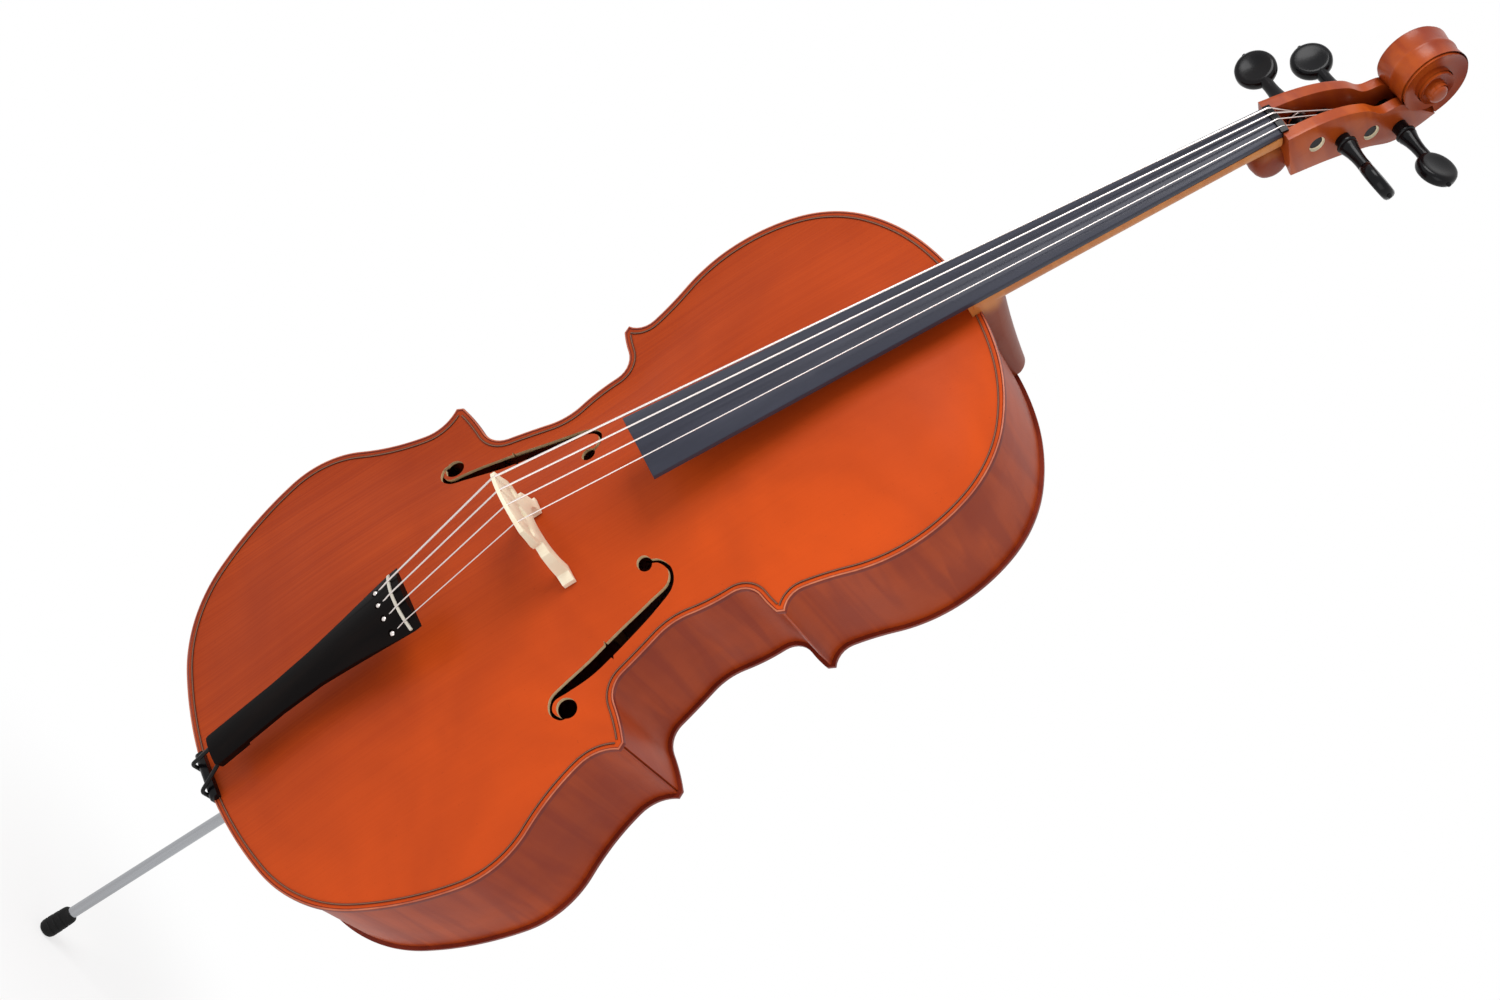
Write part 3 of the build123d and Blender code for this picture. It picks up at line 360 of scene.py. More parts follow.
def add(tree, kind, inputs=None, **settings):
    """Adds a node, with its settings and its input values."""
    node = tree.nodes.new(kind)
    for key, value in settings.items():
        setattr(node, key, value)
    for key, value in (inputs or {}).items():
        node.inputs[key].default_value = value
    return node


def ramp(tree, stops, source=None):
    """A colour ramp from (place, colour or grey) stops."""
    node = add(tree, "ShaderNodeValToRGB")
    elements = node.color_ramp.elements
    while len(elements) < len(stops):
        elements.new(0.5)
    for element, (place, colour) in zip(elements, stops):
        element.position = place
        if isinstance(colour, (int, float)):
            colour = (colour, colour, colour)
        element.color = (*colour, 1)
    if source is not None:
        tree.links.new(source, node.inputs[0])
    return node


def blend_colour(tree, kind, factor, a, b):
    """Mixes two colours: each is a socket or a colour, and factor is a socket or a number."""
    node = add(tree, "ShaderNodeMix", data_type="RGBA", blend_type=kind)
    for socket, value in ((node.inputs[0], factor), (node.inputs[6], a), (node.inputs[7], b)):
        if isinstance(value, bpy.types.NodeSocket):
            tree.links.new(value, socket)
        elif socket is node.inputs[0]:
            socket.default_value = value
        else:
            socket.default_value = (*value, 1)
    return node.outputs[2]


def noise(tree, vector, scale, detail=3.0, roughness=0.5, distortion=0.0):
    """A noise texture's value."""
    node = add(tree, "ShaderNodeTexNoise", {
        "Scale": scale, "Detail": detail, "Roughness": roughness, "Distortion": distortion,
    })
    tree.links.new(vector, node.inputs["Vector"])
    return node.outputs[0]


def stretched(tree, vector, scale, turn=(0, 0, 0), place=(0, 0, 0)):
    """Coordinates scaled by different amounts along the axes."""
    node = add(tree, "ShaderNodeMapping", {"Scale": scale, "Rotation": turn, "Location": place})
    tree.links.new(vector, node.inputs["Vector"])
    return node.outputs[0]


def object_coordinates(tree):
    """The object's own coordinates, in metres."""
    return add(tree, "ShaderNodeTexCoord").outputs["Object"]


def math_node(tree, operation, a, b=0.5, clamp=False):
    """One arithmetic node on sockets or numbers."""
    node = add(tree, "ShaderNodeMath", operation=operation, use_clamp=clamp)
    for socket, value in zip(node.inputs, (a, b)):
        if isinstance(value, bpy.types.NodeSocket):
            tree.links.new(value, socket)
        else:
            socket.default_value = value
    return node.outputs[0]


def bump(tree, height, strength, distance):
    """A bump node's normal."""
    node = add(tree, "ShaderNodeBump", {"Strength": strength, "Distance": distance})
    tree.links.new(height, node.inputs["Height"])
    return node.outputs[0]


def group(name, inputs, outputs):
    """An empty shader node group with its sockets, and its two end nodes."""
    tree = bpy.data.node_groups.new(name, "ShaderNodeTree")
    for socket, kind in inputs:
        tree.interface.new_socket(socket, in_out="INPUT", socket_type=kind)
    for socket, kind in outputs:
        tree.interface.new_socket(socket, in_out="OUTPUT", socket_type=kind)
    return tree, tree.nodes.new("NodeGroupInput"), tree.nodes.new("NodeGroupOutput")


def use_group(tree, made, inputs):
    """Places a group in a material with its own values."""
    node = add(tree, "ShaderNodeGroup", node_tree=made)
    for key, value in inputs.items():
        node.inputs[key].default_value = value if isinstance(value, (int, float)) else (*value, 1)
    return node


COLOUR, VALUE = "NodeSocketColor", "NodeSocketFloat"


def varnish_group():
    """Worn spirit varnish: shaded patches, fine specks and handling marks over a wood colour."""
    tree, start, end = group(
        "worn_varnish",
        [("Wood", COLOUR), ("Deep", COLOUR), ("Patch", VALUE), ("Shine", VALUE)],
        [("Color", COLOUR), ("Roughness", VALUE), ("Height", VALUE)],
    )
    place = object_coordinates(tree)
    patches = ramp(tree, [(0.35, 0.0), (0.7, 1.0)], noise(tree, place, 6.0, 3.0, 0.55, 0.6)).outputs[0]
    cloud = ramp(tree, [(0.3, 0.0), (0.75, 1.0)], noise(tree, place, 28.0, 4.0, 0.6)).outputs[0]
    amount = math_node(tree, "MULTIPLY", patches, start.outputs["Patch"])
    amount = math_node(tree, "ADD", amount, math_node(tree, "MULTIPLY", cloud, 0.08))
    colour = blend_colour(tree, "MIX", amount, start.outputs["Wood"], start.outputs["Deep"])
    speck = ramp(tree, [(0.70, 0.0), (0.78, 1.0)], noise(tree, place, 420.0, 2.0)).outputs[0]
    speck = math_node(tree, "MULTIPLY", speck, 0.25)
    colour = blend_colour(tree, "MULTIPLY", speck, colour, (0.35, 0.22, 0.18))
    smears = noise(tree, stretched(tree, place, (14, 14, 5)), 1.0, 5.0, 0.6, 1.0)
    rough = math_node(tree, "ADD", start.outputs["Shine"], math_node(tree, "MULTIPLY", smears, 0.12))
    tree.links.new(colour, end.inputs["Color"])
    tree.links.new(rough, end.inputs["Roughness"])
    tree.links.new(noise(tree, place, 160.0, 3.0), end.inputs["Height"])
    return tree


def spruce_group():
    """Straight, fine grain that runs up the instrument, with softer wide bands."""
    tree, start, end = group(
        "spruce_grain", [("Light", COLOUR), ("Dark", COLOUR)], [("Color", COLOUR), ("Grain", VALUE)],
    )
    place = object_coordinates(tree)
    wander = noise(tree, stretched(tree, place, (3, 0.5, 2)), 1.0, 2.0)
    bent = add(tree, "ShaderNodeVectorMath", operation="MULTIPLY_ADD")
    tree.links.new(wander, bent.inputs[0])
    bent.inputs[1].default_value = (0.006, 0.0, 0.0)
    tree.links.new(place, bent.inputs[2])
    lines = noise(tree, stretched(tree, bent.outputs[0], (620, 2, 3.5)), 1.0, 3.0, 0.65)
    bands = noise(tree, stretched(tree, bent.outputs[0], (46, 1, 1.4)), 1.0, 3.0, 0.6)
    lines = ramp(tree, [(0.38, 0.0), (0.66, 1.0)], lines).outputs[0]
    bands = ramp(tree, [(0.3, 0.0), (0.75, 1.0)], bands).outputs[0]
    fine, broad = math_node(tree, "MULTIPLY", lines, 0.55), math_node(tree, "MULTIPLY", bands, 0.45)
    grain = math_node(tree, "ADD", fine, broad)
    colour = blend_colour(tree, "MIX", grain, start.outputs["Light"], start.outputs["Dark"])
    tree.links.new(colour, end.inputs["Color"])
    tree.links.new(lines, end.inputs["Grain"])
    return tree


def maple_group():
    """Flamed maple: broad stripes across the grain, and fine pores along it."""
    tree, start, end = group(
        "maple_flame",
        [("Light", COLOUR), ("Dark", COLOUR), ("Strength", VALUE)],
        [("Color", COLOUR), ("Grain", VALUE)],
    )
    place = object_coordinates(tree)
    flame = noise(tree, stretched(tree, place, (26, 5, 62), (0, 0.35, 0)), 1.0, 2.0, 0.5, 0.8)
    flame = ramp(tree, [(0.4, 0.0), (0.6, 1.0)], flame).outputs[0]
    pores = noise(tree, stretched(tree, place, (700, 700, 30)), 1.0, 2.0)
    pores = ramp(tree, [(0.5, 0.0), (0.75, 1.0)], pores).outputs[0]
    amount = math_node(tree, "MULTIPLY", flame, start.outputs["Strength"])
    amount = math_node(tree, "ADD", amount, math_node(tree, "MULTIPLY", pores, 0.12))
    colour = blend_colour(tree, "MIX", amount, start.outputs["Light"], start.outputs["Dark"])
    tree.links.new(colour, end.inputs["Color"])
    tree.links.new(pores, end.inputs["Grain"])
    return tree


VARNISH = varnish_group()
SPRUCE = spruce_group()
MAPLE = maple_group()


def varnished(name, wood, wood_values, deep, patch, shine, coat, gloss, painted_light_grade=None):
    """A varnished wood.

    deep is the colour of its darker patches and patch their share. shine is its roughness.
    The last argument, (axis vector, from, to, colour), is painted light and shade: a slow change of colour
    across the piece, to a lighter colour on its lit side or a darker one on its shaded side.
    """
    material, tree, shader = new_material(name)
    grain = use_group(tree, wood, wood_values)
    finish = use_group(tree, VARNISH, {"Deep": deep, "Patch": patch, "Shine": shine})
    colour = grain.outputs["Color"]
    # Painted light and shade: the wood's colour moves towards a lighter or darker colour along one direction
    # across the piece.
    if painted_light_grade:
        direction, start, end, painted_light_tint = painted_light_grade
        dot = add(tree, "ShaderNodeVectorMath", operation="DOT_PRODUCT")
        tree.links.new(object_coordinates(tree), dot.inputs[0])
        dot.inputs[1].default_value = direction
        reach = {1: start, 2: end, 3: 0.0, 4: 0.9}
        spread = add(tree, "ShaderNodeMapRange", reach, interpolation_type="SMOOTHSTEP")
        tree.links.new(dot.outputs["Value"], spread.inputs[0])
        colour = blend_colour(tree, "MIX", spread.outputs[0], colour, painted_light_tint)
    tree.links.new(colour, finish.inputs["Wood"])
    tree.links.new(finish.outputs["Color"], shader.inputs["Base Color"])
    tree.links.new(finish.outputs["Roughness"], shader.inputs["Roughness"])
    pores = math_node(tree, "MULTIPLY", grain.outputs["Grain"], 0.6)
    height = math_node(tree, "ADD", finish.outputs["Height"], pores)
    tree.links.new(bump(tree, height, 0.25, 0.0002), shader.inputs["Normal"])
    shader.inputs["Coat Weight"].default_value = coat
    shader.inputs["Coat Roughness"].default_value = 0.2
    shader.inputs["Specular IOR Level"].default_value = gloss
    return material


# The top's grade is painted light: its treble side and upper part turn a brighter orange, as if lit, and the
# bass side stays darker.
TOP_WOOD = varnished(
    "spruce_varnished", SPRUCE, {"Light": (0.43, 0.056, 0.007), "Dark": (0.30, 0.032, 0.005)},
    (0.22, 0.020, 0.004), 0.4, 0.38, 0.04, 0.12, ((1.0, 0.0, 0.2), -0.06, 0.31, (0.67, 0.079, 0.006)),
)
RIB_WOOD = varnished(
    "maple_varnished", MAPLE, {"Light": (0.42, 0.058, 0.007), "Dark": (0.26, 0.027, 0.005), "Strength": 0.6},
    (0.18, 0.016, 0.005), 0.5, 0.40, 0.03, 0.12,
)
HEAD_WOOD = varnished(
    "maple_head", MAPLE, {"Light": (0.46, 0.082, 0.008), "Dark": (0.28, 0.034, 0.006), "Strength": 0.5},
    (0.15, 0.010, 0.006), 0.75, 0.28, 0.12, 0.2,
)
# The neck's grade is painted shade: the heel's side turns dark maroon, as if in shadow, while the shaft keeps
# its lighter oiled colour.
NECK_WOOD = varnished(
    "maple_neck", MAPLE, {"Light": (0.62, 0.24, 0.06), "Dark": (0.46, 0.14, 0.03), "Strength": 0.5},
    (0.40, 0.09, 0.02), 0.3, 0.36, 0.08, 0.15, ((0.0, 0.9866, -0.1633), -0.226, -0.207, (0.16, 0.014, 0.010)),
)
EDGE_WOOD = varnished(
    "edge_varnished", MAPLE, {"Light": (0.24, 0.030, 0.010), "Dark": (0.15, 0.016, 0.008), "Strength": 0.5},
    (0.12, 0.012, 0.008), 0.6, 0.38, 0.08, 0.15,
)
# Pale line along the edge's crest: worn varnish with a painted highlight on it.
WORN_LIT_EDGE = varnished(
    "edge_worn_lit", MAPLE, {"Light": (0.62, 0.20, 0.10), "Dark": (0.42, 0.09, 0.04), "Strength": 0.5},
    (0.3, 0.04, 0.02), 0.7, 0.36, 0.1, 0.2,
)


def bare_wood(name, wood, light, dark, roughness, extra=None):
    """Unvarnished wood."""
    material, tree, shader = new_material(name)
    grain = use_group(tree, wood, {"Light": light, "Dark": dark, **(extra or {})})
    tree.links.new(grain.outputs["Color"], shader.inputs["Base Color"])
    tree.links.new(bump(tree, grain.outputs["Grain"], 0.35, 0.0002), shader.inputs["Normal"])
    shader.inputs["Roughness"].default_value = roughness
    return material


BARE_SPRUCE = bare_wood("spruce_bare", SPRUCE, (0.72, 0.52, 0.30), (0.55, 0.36, 0.18), 0.6)
BRIDGE_WOOD = bare_wood(
    "bridge_maple", MAPLE, (0.93, 0.84, 0.64), (0.78, 0.62, 0.42), 0.42, {"Strength": 0.35},
)


def dark_gloss(name, colour, roughness, streak, coat, gloss, fine=(900, 900, 14)):
    """Ebony and other black pieces: long pores, faint brown streaks and hand polish."""
    material, tree, shader = new_material(name)
    place = object_coordinates(tree)
    streaks = noise(tree, stretched(tree, place, (60, 60, 5)), 1.0, 4.0)
    streaks = ramp(tree, [(0.45, 0.0), (0.75, 1.0)], streaks).outputs[0]
    mixed = blend_colour(tree, "MIX", math_node(tree, "MULTIPLY", streaks, 0.5), colour, streak)
    tree.links.new(mixed, shader.inputs["Base Color"])
    pores = noise(tree, stretched(tree, place, fine), 1.0, 2.0)
    smears = noise(tree, place, 22.0, 4.0, 0.6, 0.8)
    rough = math_node(tree, "ADD", math_node(tree, "MULTIPLY", smears, 0.18), roughness - 0.09)
    tree.links.new(rough, shader.inputs["Roughness"])
    tree.links.new(bump(tree, pores, 0.18, 0.0001), shader.inputs["Normal"])
    shader.inputs["Coat Weight"].default_value = coat
    shader.inputs["Coat Roughness"].default_value = 0.1
    shader.inputs["Specular IOR Level"].default_value = gloss
    return material


EBONY = dark_gloss("ebony", (0.003, 0.003, 0.004), 0.22, (0.009, 0.006, 0.005), 0.05, 0.14)
TAIL_EBONY = dark_gloss("tailpiece_ebony", (0.003, 0.002, 0.002), 0.36, (0.009, 0.005, 0.004), 0.02, 0.05)
# The fingerboard's blue-grey is ebony's dark colour with a painted sheen mixed in.
BOARD_EBONY_SHEEN = dark_gloss("fingerboard_ebony_sheen", (0.030, 0.032, 0.048), 0.42, (0.052, 0.055, 0.078), 0.05, 0.22)
NYLON = dark_gloss(
    "black_nylon", (0.006, 0.006, 0.006), 0.45, (0.012, 0.012, 0.012), 0.0, 0.15, (300, 300, 300),
)
RUBBER = dark_gloss("rubber", (0.006, 0.006, 0.006), 0.60, (0.014, 0.014, 0.014), 0.0, 0.12, (700, 700, 700))


def metal(name, colour, roughness, fine, strength):
    """Polished or wound metal with fine marks along one direction."""
    material, tree, shader = new_material(name)
    place = object_coordinates(tree)
    marks = noise(tree, stretched(tree, place, fine), 1.0, 3.0)
    dulled = ramp(tree, [(0.3, 0.0), (0.8, 0.35)], marks).outputs[0]
    mixed = blend_colour(tree, "MULTIPLY", dulled, colour, (0.6, 0.58, 0.56))
    tree.links.new(mixed, shader.inputs["Base Color"])
    rough = math_node(tree, "ADD", math_node(tree, "MULTIPLY", marks, 0.15), roughness - 0.07)
    tree.links.new(rough, shader.inputs["Roughness"])
    tree.links.new(bump(tree, marks, strength, 0.00005), shader.inputs["Normal"])
    shader.inputs["Metallic"].default_value = 1.0
    return material


STEEL = metal("endpin_steel", (0.40, 0.41, 0.43), 0.24, (500, 500, 9), 0.15)
SCREW_STEEL = metal("screw_steel", (0.62, 0.62, 0.63), 0.3, (700, 60, 60), 0.3)
WOUND = metal("wound_string", (0.80, 0.73, 0.70), 0.34, (40, 40, 2600), 0.6)


def plain(name, colour, roughness):
    """A small smooth part, with a little colour change."""
    material, tree, shader = new_material(name)
    patch = noise(tree, object_coordinates(tree), 180.0, 3.0)
    patch = math_node(tree, "MULTIPLY", patch, 0.4)
    mixed = blend_colour(tree, "MULTIPLY", patch, colour, (0.6, 0.55, 0.5))
    tree.links.new(mixed, shader.inputs["Base Color"])
    shader.inputs["Roughness"].default_value = roughness
    return material


BONE = plain("fret_bone", (0.62, 0.58, 0.50), 0.3)
PURFLING_DARK = plain("purfling_dark", (0.045, 0.010, 0.007), 0.4)
PURFLING_PALE = plain("purfling_pale", (0.30, 0.11, 0.04), 0.4)


# ---------------------------------------------------------------- plates and purfling
# From the outside in: width, depth below the top, and whether the edge is pale there: worn varnish with a
# painted highlight along the crest.
EDGE_RINGS = [(0.35, 0.9, False), (0.5, 0.35, True), (0.7, 0.06, True), (0.9, 0.0, False)]
RIM_DROP = 2.0                               # depth of the outermost line of the edge
GRID_HALF = 220.0                            # half-width that the plates' grid covers
FIELD, EDGE_SIDE, WORN_LIT_LINE, CUT_FACE = range(4)     # places of a plate's materials


def make_plate(name, facing, rise, field, node):
    """An arched plate with a rolled edge. Its inner face follows the arch."""
    bm = outline_mesh(0.0)
    face = bm.faces[:][0]
    for vert in bm.verts:
        vert.co.y = RIM_DROP
    # Rings marked True take the pale crest colour: worn varnish with a painted highlight.
    for width, drop, worn in EDGE_RINGS:
        before = set(bm.verts)
        for part in inset(bm, face, width):
            part.material_index = WORN_LIT_LINE if worn else EDGE_SIDE
        for vert in set(bm.verts) - before:
            vert.co.y = drop
    face.material_index = FIELD
    for normal, start, reach in (
        (Vector((1, 0, 0)), -GRID_HALF, 2 * GRID_HALF), (Vector((0, 0, 1)), BODY_Z, BODY_LENGTH),
    ):
        for step in range(1, int(reach / GRID) + 1):
            place = normal * (start + step * GRID + GRID_SHIFT)
            faces = [part for part in bm.faces if part.material_index == FIELD]
            edges = dict.fromkeys(edge for part in faces for edge in part.edges)
            verts = dict.fromkeys(vert for part in faces for vert in part.verts)
            bmesh.ops.bisect_plane(
                bm, geom=[*verts, *edges, *faces], dist=0.001, plane_co=place, plane_no=normal,
            )
    copy = bmesh.ops.duplicate(bm, geom=bm.verts[:] + bm.edges[:] + bm.faces[:])["geom"]
    inner_faces = picked(copy, FACE)
    bmesh.ops.reverse_faces(bm, faces=inner_faces)
    inner = set(picked(copy, VERT))
    for vert in bm.verts:
        rise_here = arch_height(vert.co.x, vert.co.z, rise)
        if vert in inner:
            vert.co.y = facing * (HALF_RIB + max(0.0, rise_here - PLATE_THICKNESS + EDGE_THICKNESS))
        else:
            vert.co.y = facing * (BACK_EDGE_Y + rise_here - vert.co.y)
    rim = [edge for edge in bm.edges if len(edge.link_faces) == 1]
    for part in inner_faces + bmesh.ops.bridge_loops(bm, edges=rim)["faces"]:
        part.material_index = EDGE_SIDE
    materials = [field, EDGE_WOOD, WORN_LIT_EDGE, BARE_SPRUCE]
    return make_piece(bm, name, materials, "instrument", [node], 40)


PURFLING_TRIM = 4.4
PURFLING_PROUD = 0.06
PURFLING_DEPTH = 1.5


def make_purfling(name, facing, node):
    """Three thin plies, dark, pale and dark, let in near the edge."""
    bm = bmesh.new()
    surface = facing * (BACK_EDGE_Y + PURFLING_PROUD)
    base = surface - facing * PURFLING_DEPTH
    for bout in BOUTS:
        for side in (1, -1):
            outer = PURFLING_INSET
            for number, width in enumerate(PURFLING_PLIES):
                ply = bout_strip(bout, outer, outer + width, base, surface, PURFLING_TRIM)
                take_in(bm, ply, side, number % 2)
                outer += width
    make_piece(bm, name, [PURFLING_DARK, PURFLING_PALE], "instrument", [node], recalc=False)


# ---------------------------------------------------------------- f-holes
# Centre line of the treble f-hole from its upper to its lower eye: x, height and half its width.
F_LINE = [
    (61, 423, 1.8), (65.5, 432.5, 1.6), (76, 436.5, 1.8), (86.5, 429, 2.8), (92.5, 410, 4.4), (99, 386, 5.4),
    (106, 361, 5.8), (112.5, 336, 5.4), (116.5, 316, 3.9), (119.5, 302.5, 2.3), (128, 296.5, 1.6),
    (136.5, 301, 1.4), (137, 309, 1.5),
]
F_EYES = [(61, 421, 6.4), (131.5, 309.5, 8.6)]        # x, height, radius
F_NICK = (106, 361, 8.8, 3.4)                         # x, height, half its width and its height
CUT_BEFORE, CUT_BEHIND = 10, 6                        # how far the cutters reach past the top's faces
FACE_ON = Matrix.Rotation(math.pi / 2, 4, "X")


def smooth_through(points, steps):
    """Points along a smooth curve through some others (Catmull-Rom)."""
    result = []
    for i in range(len(points) - 1):
        p0, p1 = Vector(points[max(0, i - 1)]), Vector(points[i])
        p2, p3 = Vector(points[i + 1]), Vector(points[min(len(points) - 1, i + 2)])
        for step in range(steps):
            t = step / steps
            result.append(0.5 * (2 * p1 + (p2 - p0) * t + (2 * p0 - 5 * p1 + 4 * p2 - p3) * t**2
                                 + (3 * p1 - p0 - 3 * p2 + p3) * t**3))
    result.append(Vector(points[-1]))
    return result


def thicken(bm, near_y, far_y):
    """Makes flat faces into prisms from one depth to another."""
    for vert in bm.verts:
        vert.co.y = near_y
    extrude_depth(bm, far_y - near_y)
    return bm


def f_hole_cutters(side):
    """Prisms that cut one f-hole: the slot, its two eyes and its nicks."""
    near, far = FRONT_EDGE_Y - TOP_ARCH - CUT_BEFORE, -HALF_RIB + CUT_BEHIND
    line = smooth_through(F_LINE, 6)
    slot = bmesh.new()
    pair = None
    for i, point in enumerate(line):
        ahead = line[min(len(line) - 1, i + 1)] - line[max(0, i - 1)]
        normal = Vector((-ahead.y, ahead.x)).normalized() * point.z
        a = Vector((side * (point.x + normal.x), 0, BODY_Z + point.y + normal.y))
        b = Vector((side * (point.x - normal.x), 0, BODY_Z + point.y - normal.y))
        if pair is None:
            pair = [slot.verts.new(a), slot.verts.new(b)]
            edge = bmesh.ops.contextual_create(slot, geom=pair)["edges"][0]
        else:
            grown = bmesh.ops.extrude_edge_only(slot, edges=[edge])["geom"]
            edge = picked(grown, EDGE)[0]
            pair = sorted(picked(grown, VERT), key=lambda vert: (vert.co - pair[0].co).length)
            pair[0].co, pair[1].co = a, b
    cutters = [thicken(slot, near, far)]
    for x, height, radius in F_EYES:
        eye = bmesh.new()
        place = Matrix.Translation((side * x, 0, BODY_Z + height)) @ FACE_ON
        bmesh.ops.create_circle(eye, cap_ends=True, segments=40, radius=radius, matrix=place)
        cutters.append(thicken(eye, near, far))
    x, height, reach, tall = F_NICK
    nick = bmesh.new()
    place = Matrix.Translation((side * x, 0, BODY_Z + height)) @ Matrix.Diagonal((reach, 1, tall, 1))
    bmesh.ops.create_circle(nick, cap_ends=True, segments=4, radius=1.0, matrix=place @ FACE_ON)
    cutters.append(thicken(nick, near, far))
    return cutters


# ---------------------------------------------------------------- ribs
RIB_TRIM = 1.6


def make_rib(name, side):
    """One bent rib."""
    bm = bmesh.new()
    rib = bout_strip(name, OVERHANG, OVERHANG + RIB_THICKNESS, -HALF_RIB, HALF_RIB, RIB_TRIM)
    take_in(bm, rib, side)
    node = f"rib_{name}_{'treble' if side > 0 else 'bass'}"
    make_piece(bm, f"{node}_bent", [RIB_WOOD], "instrument", [node], 30, recalc=False)


# ---------------------------------------------------------------- head
# Side view of the pegbox: y and height above the nut.
PEGBOX_REAR = [(10, -5), (25, 32), (42, 64), (58, 87), (62, 110), (61, 131)]
PEGBOX_FRONT = [(38, 131), (36, 112), (20, 104), (14, 86), (-2, 74), (-17, 54), (-28, 30), (-36, 2)]
CAVITY_REAR = [(-24, 9), (8, 16), (20, 34), (37.5, 66), (53, 88), (57, 106)]
CAVITY_FRONT = [(30, 118), (-10, 96), (-46, 40), (-46, 9)]
CHEEK_OUTSIDE = (24.0, 17.5)                 # half-width at the nut and at the scroll
CHEEK_INSIDE = (12.5, 8.5)
CHEEK_REACH = 110.0
EYE_Y, EYE_UP = 18.0, 131.0
SCROLL_RADIUS = 43.0
SCROLL_SHRINK = 0.856                        # of the radius, for each quarter turn
SCROLL_END = 30.5                            # half-width of the last turn
EYE_RADIUS = 8.5
EYE_HALF_WIDTH = 32.0
SCROLL_STEP = 7.5                            # degrees
CHAMFER = 1.8
# The two hollows down the back: share of the half-width, and depth.
FLUTES = [(0, 0), (0.08, 0.3), (0.2, 1.9), (0.36, 3.1), (0.52, 3.4), (0.68, 2.6), (0.8, 1.2), (0.88, 0)]
INTO_BACK = Vector((0, -0.92, 0.38))         # the way in from the pegbox's back
# For each string's peg: its side, y, height above the nut, and the turn of its head in degrees.
PEGS = {"c": (-1, -6, 24, 0), "a": (1, 10, 46, 75), "g": (-1, 28, 72, 8), "d": (1, 45, 97, 40)}
PEG_RADIUS = 6.4
PEG_TAPER = 0.02
PEG_PLAY = 0.25                              # between a peg and its hole
HOLE_HALF = 30                               # half the length of a peg-hole cutter
PALE_RING_WIDTHS = (0.9, 1.3)                        # width of the pale rim round a peg's end, inside and outside
PALE_RING_DEPTH = 6
PALE_RING_SHIFT = 0.6


def cheek(widths, up):
    """Half-width of the pegbox at a height above the nut."""
    return widths[0] + (widths[1] - widths[0]) * up / CHEEK_REACH


def side_prism(bm, points, widths, stations=(-1, 1)):
    """A closed side view, given as y and height above the nut, spread to both sides."""
    face = flat_face(bm, [(stations[0], y, NUT_Z + up) for y, up in points])
    sweep_ring(bm, face.edges[:], [Matrix.Translation((b - a, 0, 0)) for a, b in zip(stations, stations[1:])])
    for vert in bm.verts:
        vert.co.x *= cheek(widths, vert.co.z - NUT_Z)


def scroll_section(wide):
    """The scroll's cross-section at the rear: x and distance from the eye's axis."""
    outer = SCROLL_RADIUS
    inner = outer * SCROLL_SHRINK**4 - 1.0
    half = [(wide * share, outer - depth) for share, depth in FLUTES]
    half += [
        (wide, outer - CHAMFER), (wide - 1.2, outer - 4.5), (wide - 2.6, outer - 9.5),
        (wide - 3.0, inner + 5.0), (wide - 2.2, inner),
    ]
    return half + [(-x, radius) for x, radius in reversed(half[1:])]


def make_scroll(bm):
    """The volute: one section wound in about the eye, and the eye itself."""
    eye = Vector((0, EYE_Y, NUT_Z + EYE_UP))
    turn = 90 * math.log(EYE_RADIUS / SCROLL_RADIUS) / math.log(SCROLL_SHRINK)
    steps = round(turn / SCROLL_STEP)
    shrink = SCROLL_SHRINK ** (turn / steps / 90)
    first = cheek(CHEEK_OUTSIDE, EYE_UP)
    widths = [first + (SCROLL_END - first) * i / steps for i in range(steps + 1)]
    part = bmesh.new()
    face = flat_face(part, [(x, eye.y + radius, eye.z) for x, radius in scroll_section(first)])
    moves = []
    for now, after in zip(widths, widths[1:]):
        smaller = Matrix.Diagonal((after / now, shrink, shrink, 1))
        wound = Matrix.Rotation(math.radians(turn / steps), 4, "X") @ smaller
        moves.append(Matrix.Translation(eye) @ wound @ Matrix.Translation(-eye))
    sweep_ring(part, face.edges[:], moves)
    take_in(bm, part)
    half = EYE_HALF_WIDTH
    profile = [
        (-half, 0), (-half, 5.0), (-half + 0.8, 7.2), (-half + 2.5, EYE_RADIUS),
        (half - 2.5, EYE_RADIUS), (half - 0.8, 7.2), (half, 5.0), (half, 0),
    ]
    turned(bm, profile, Matrix.Translation(eye), segments=40)


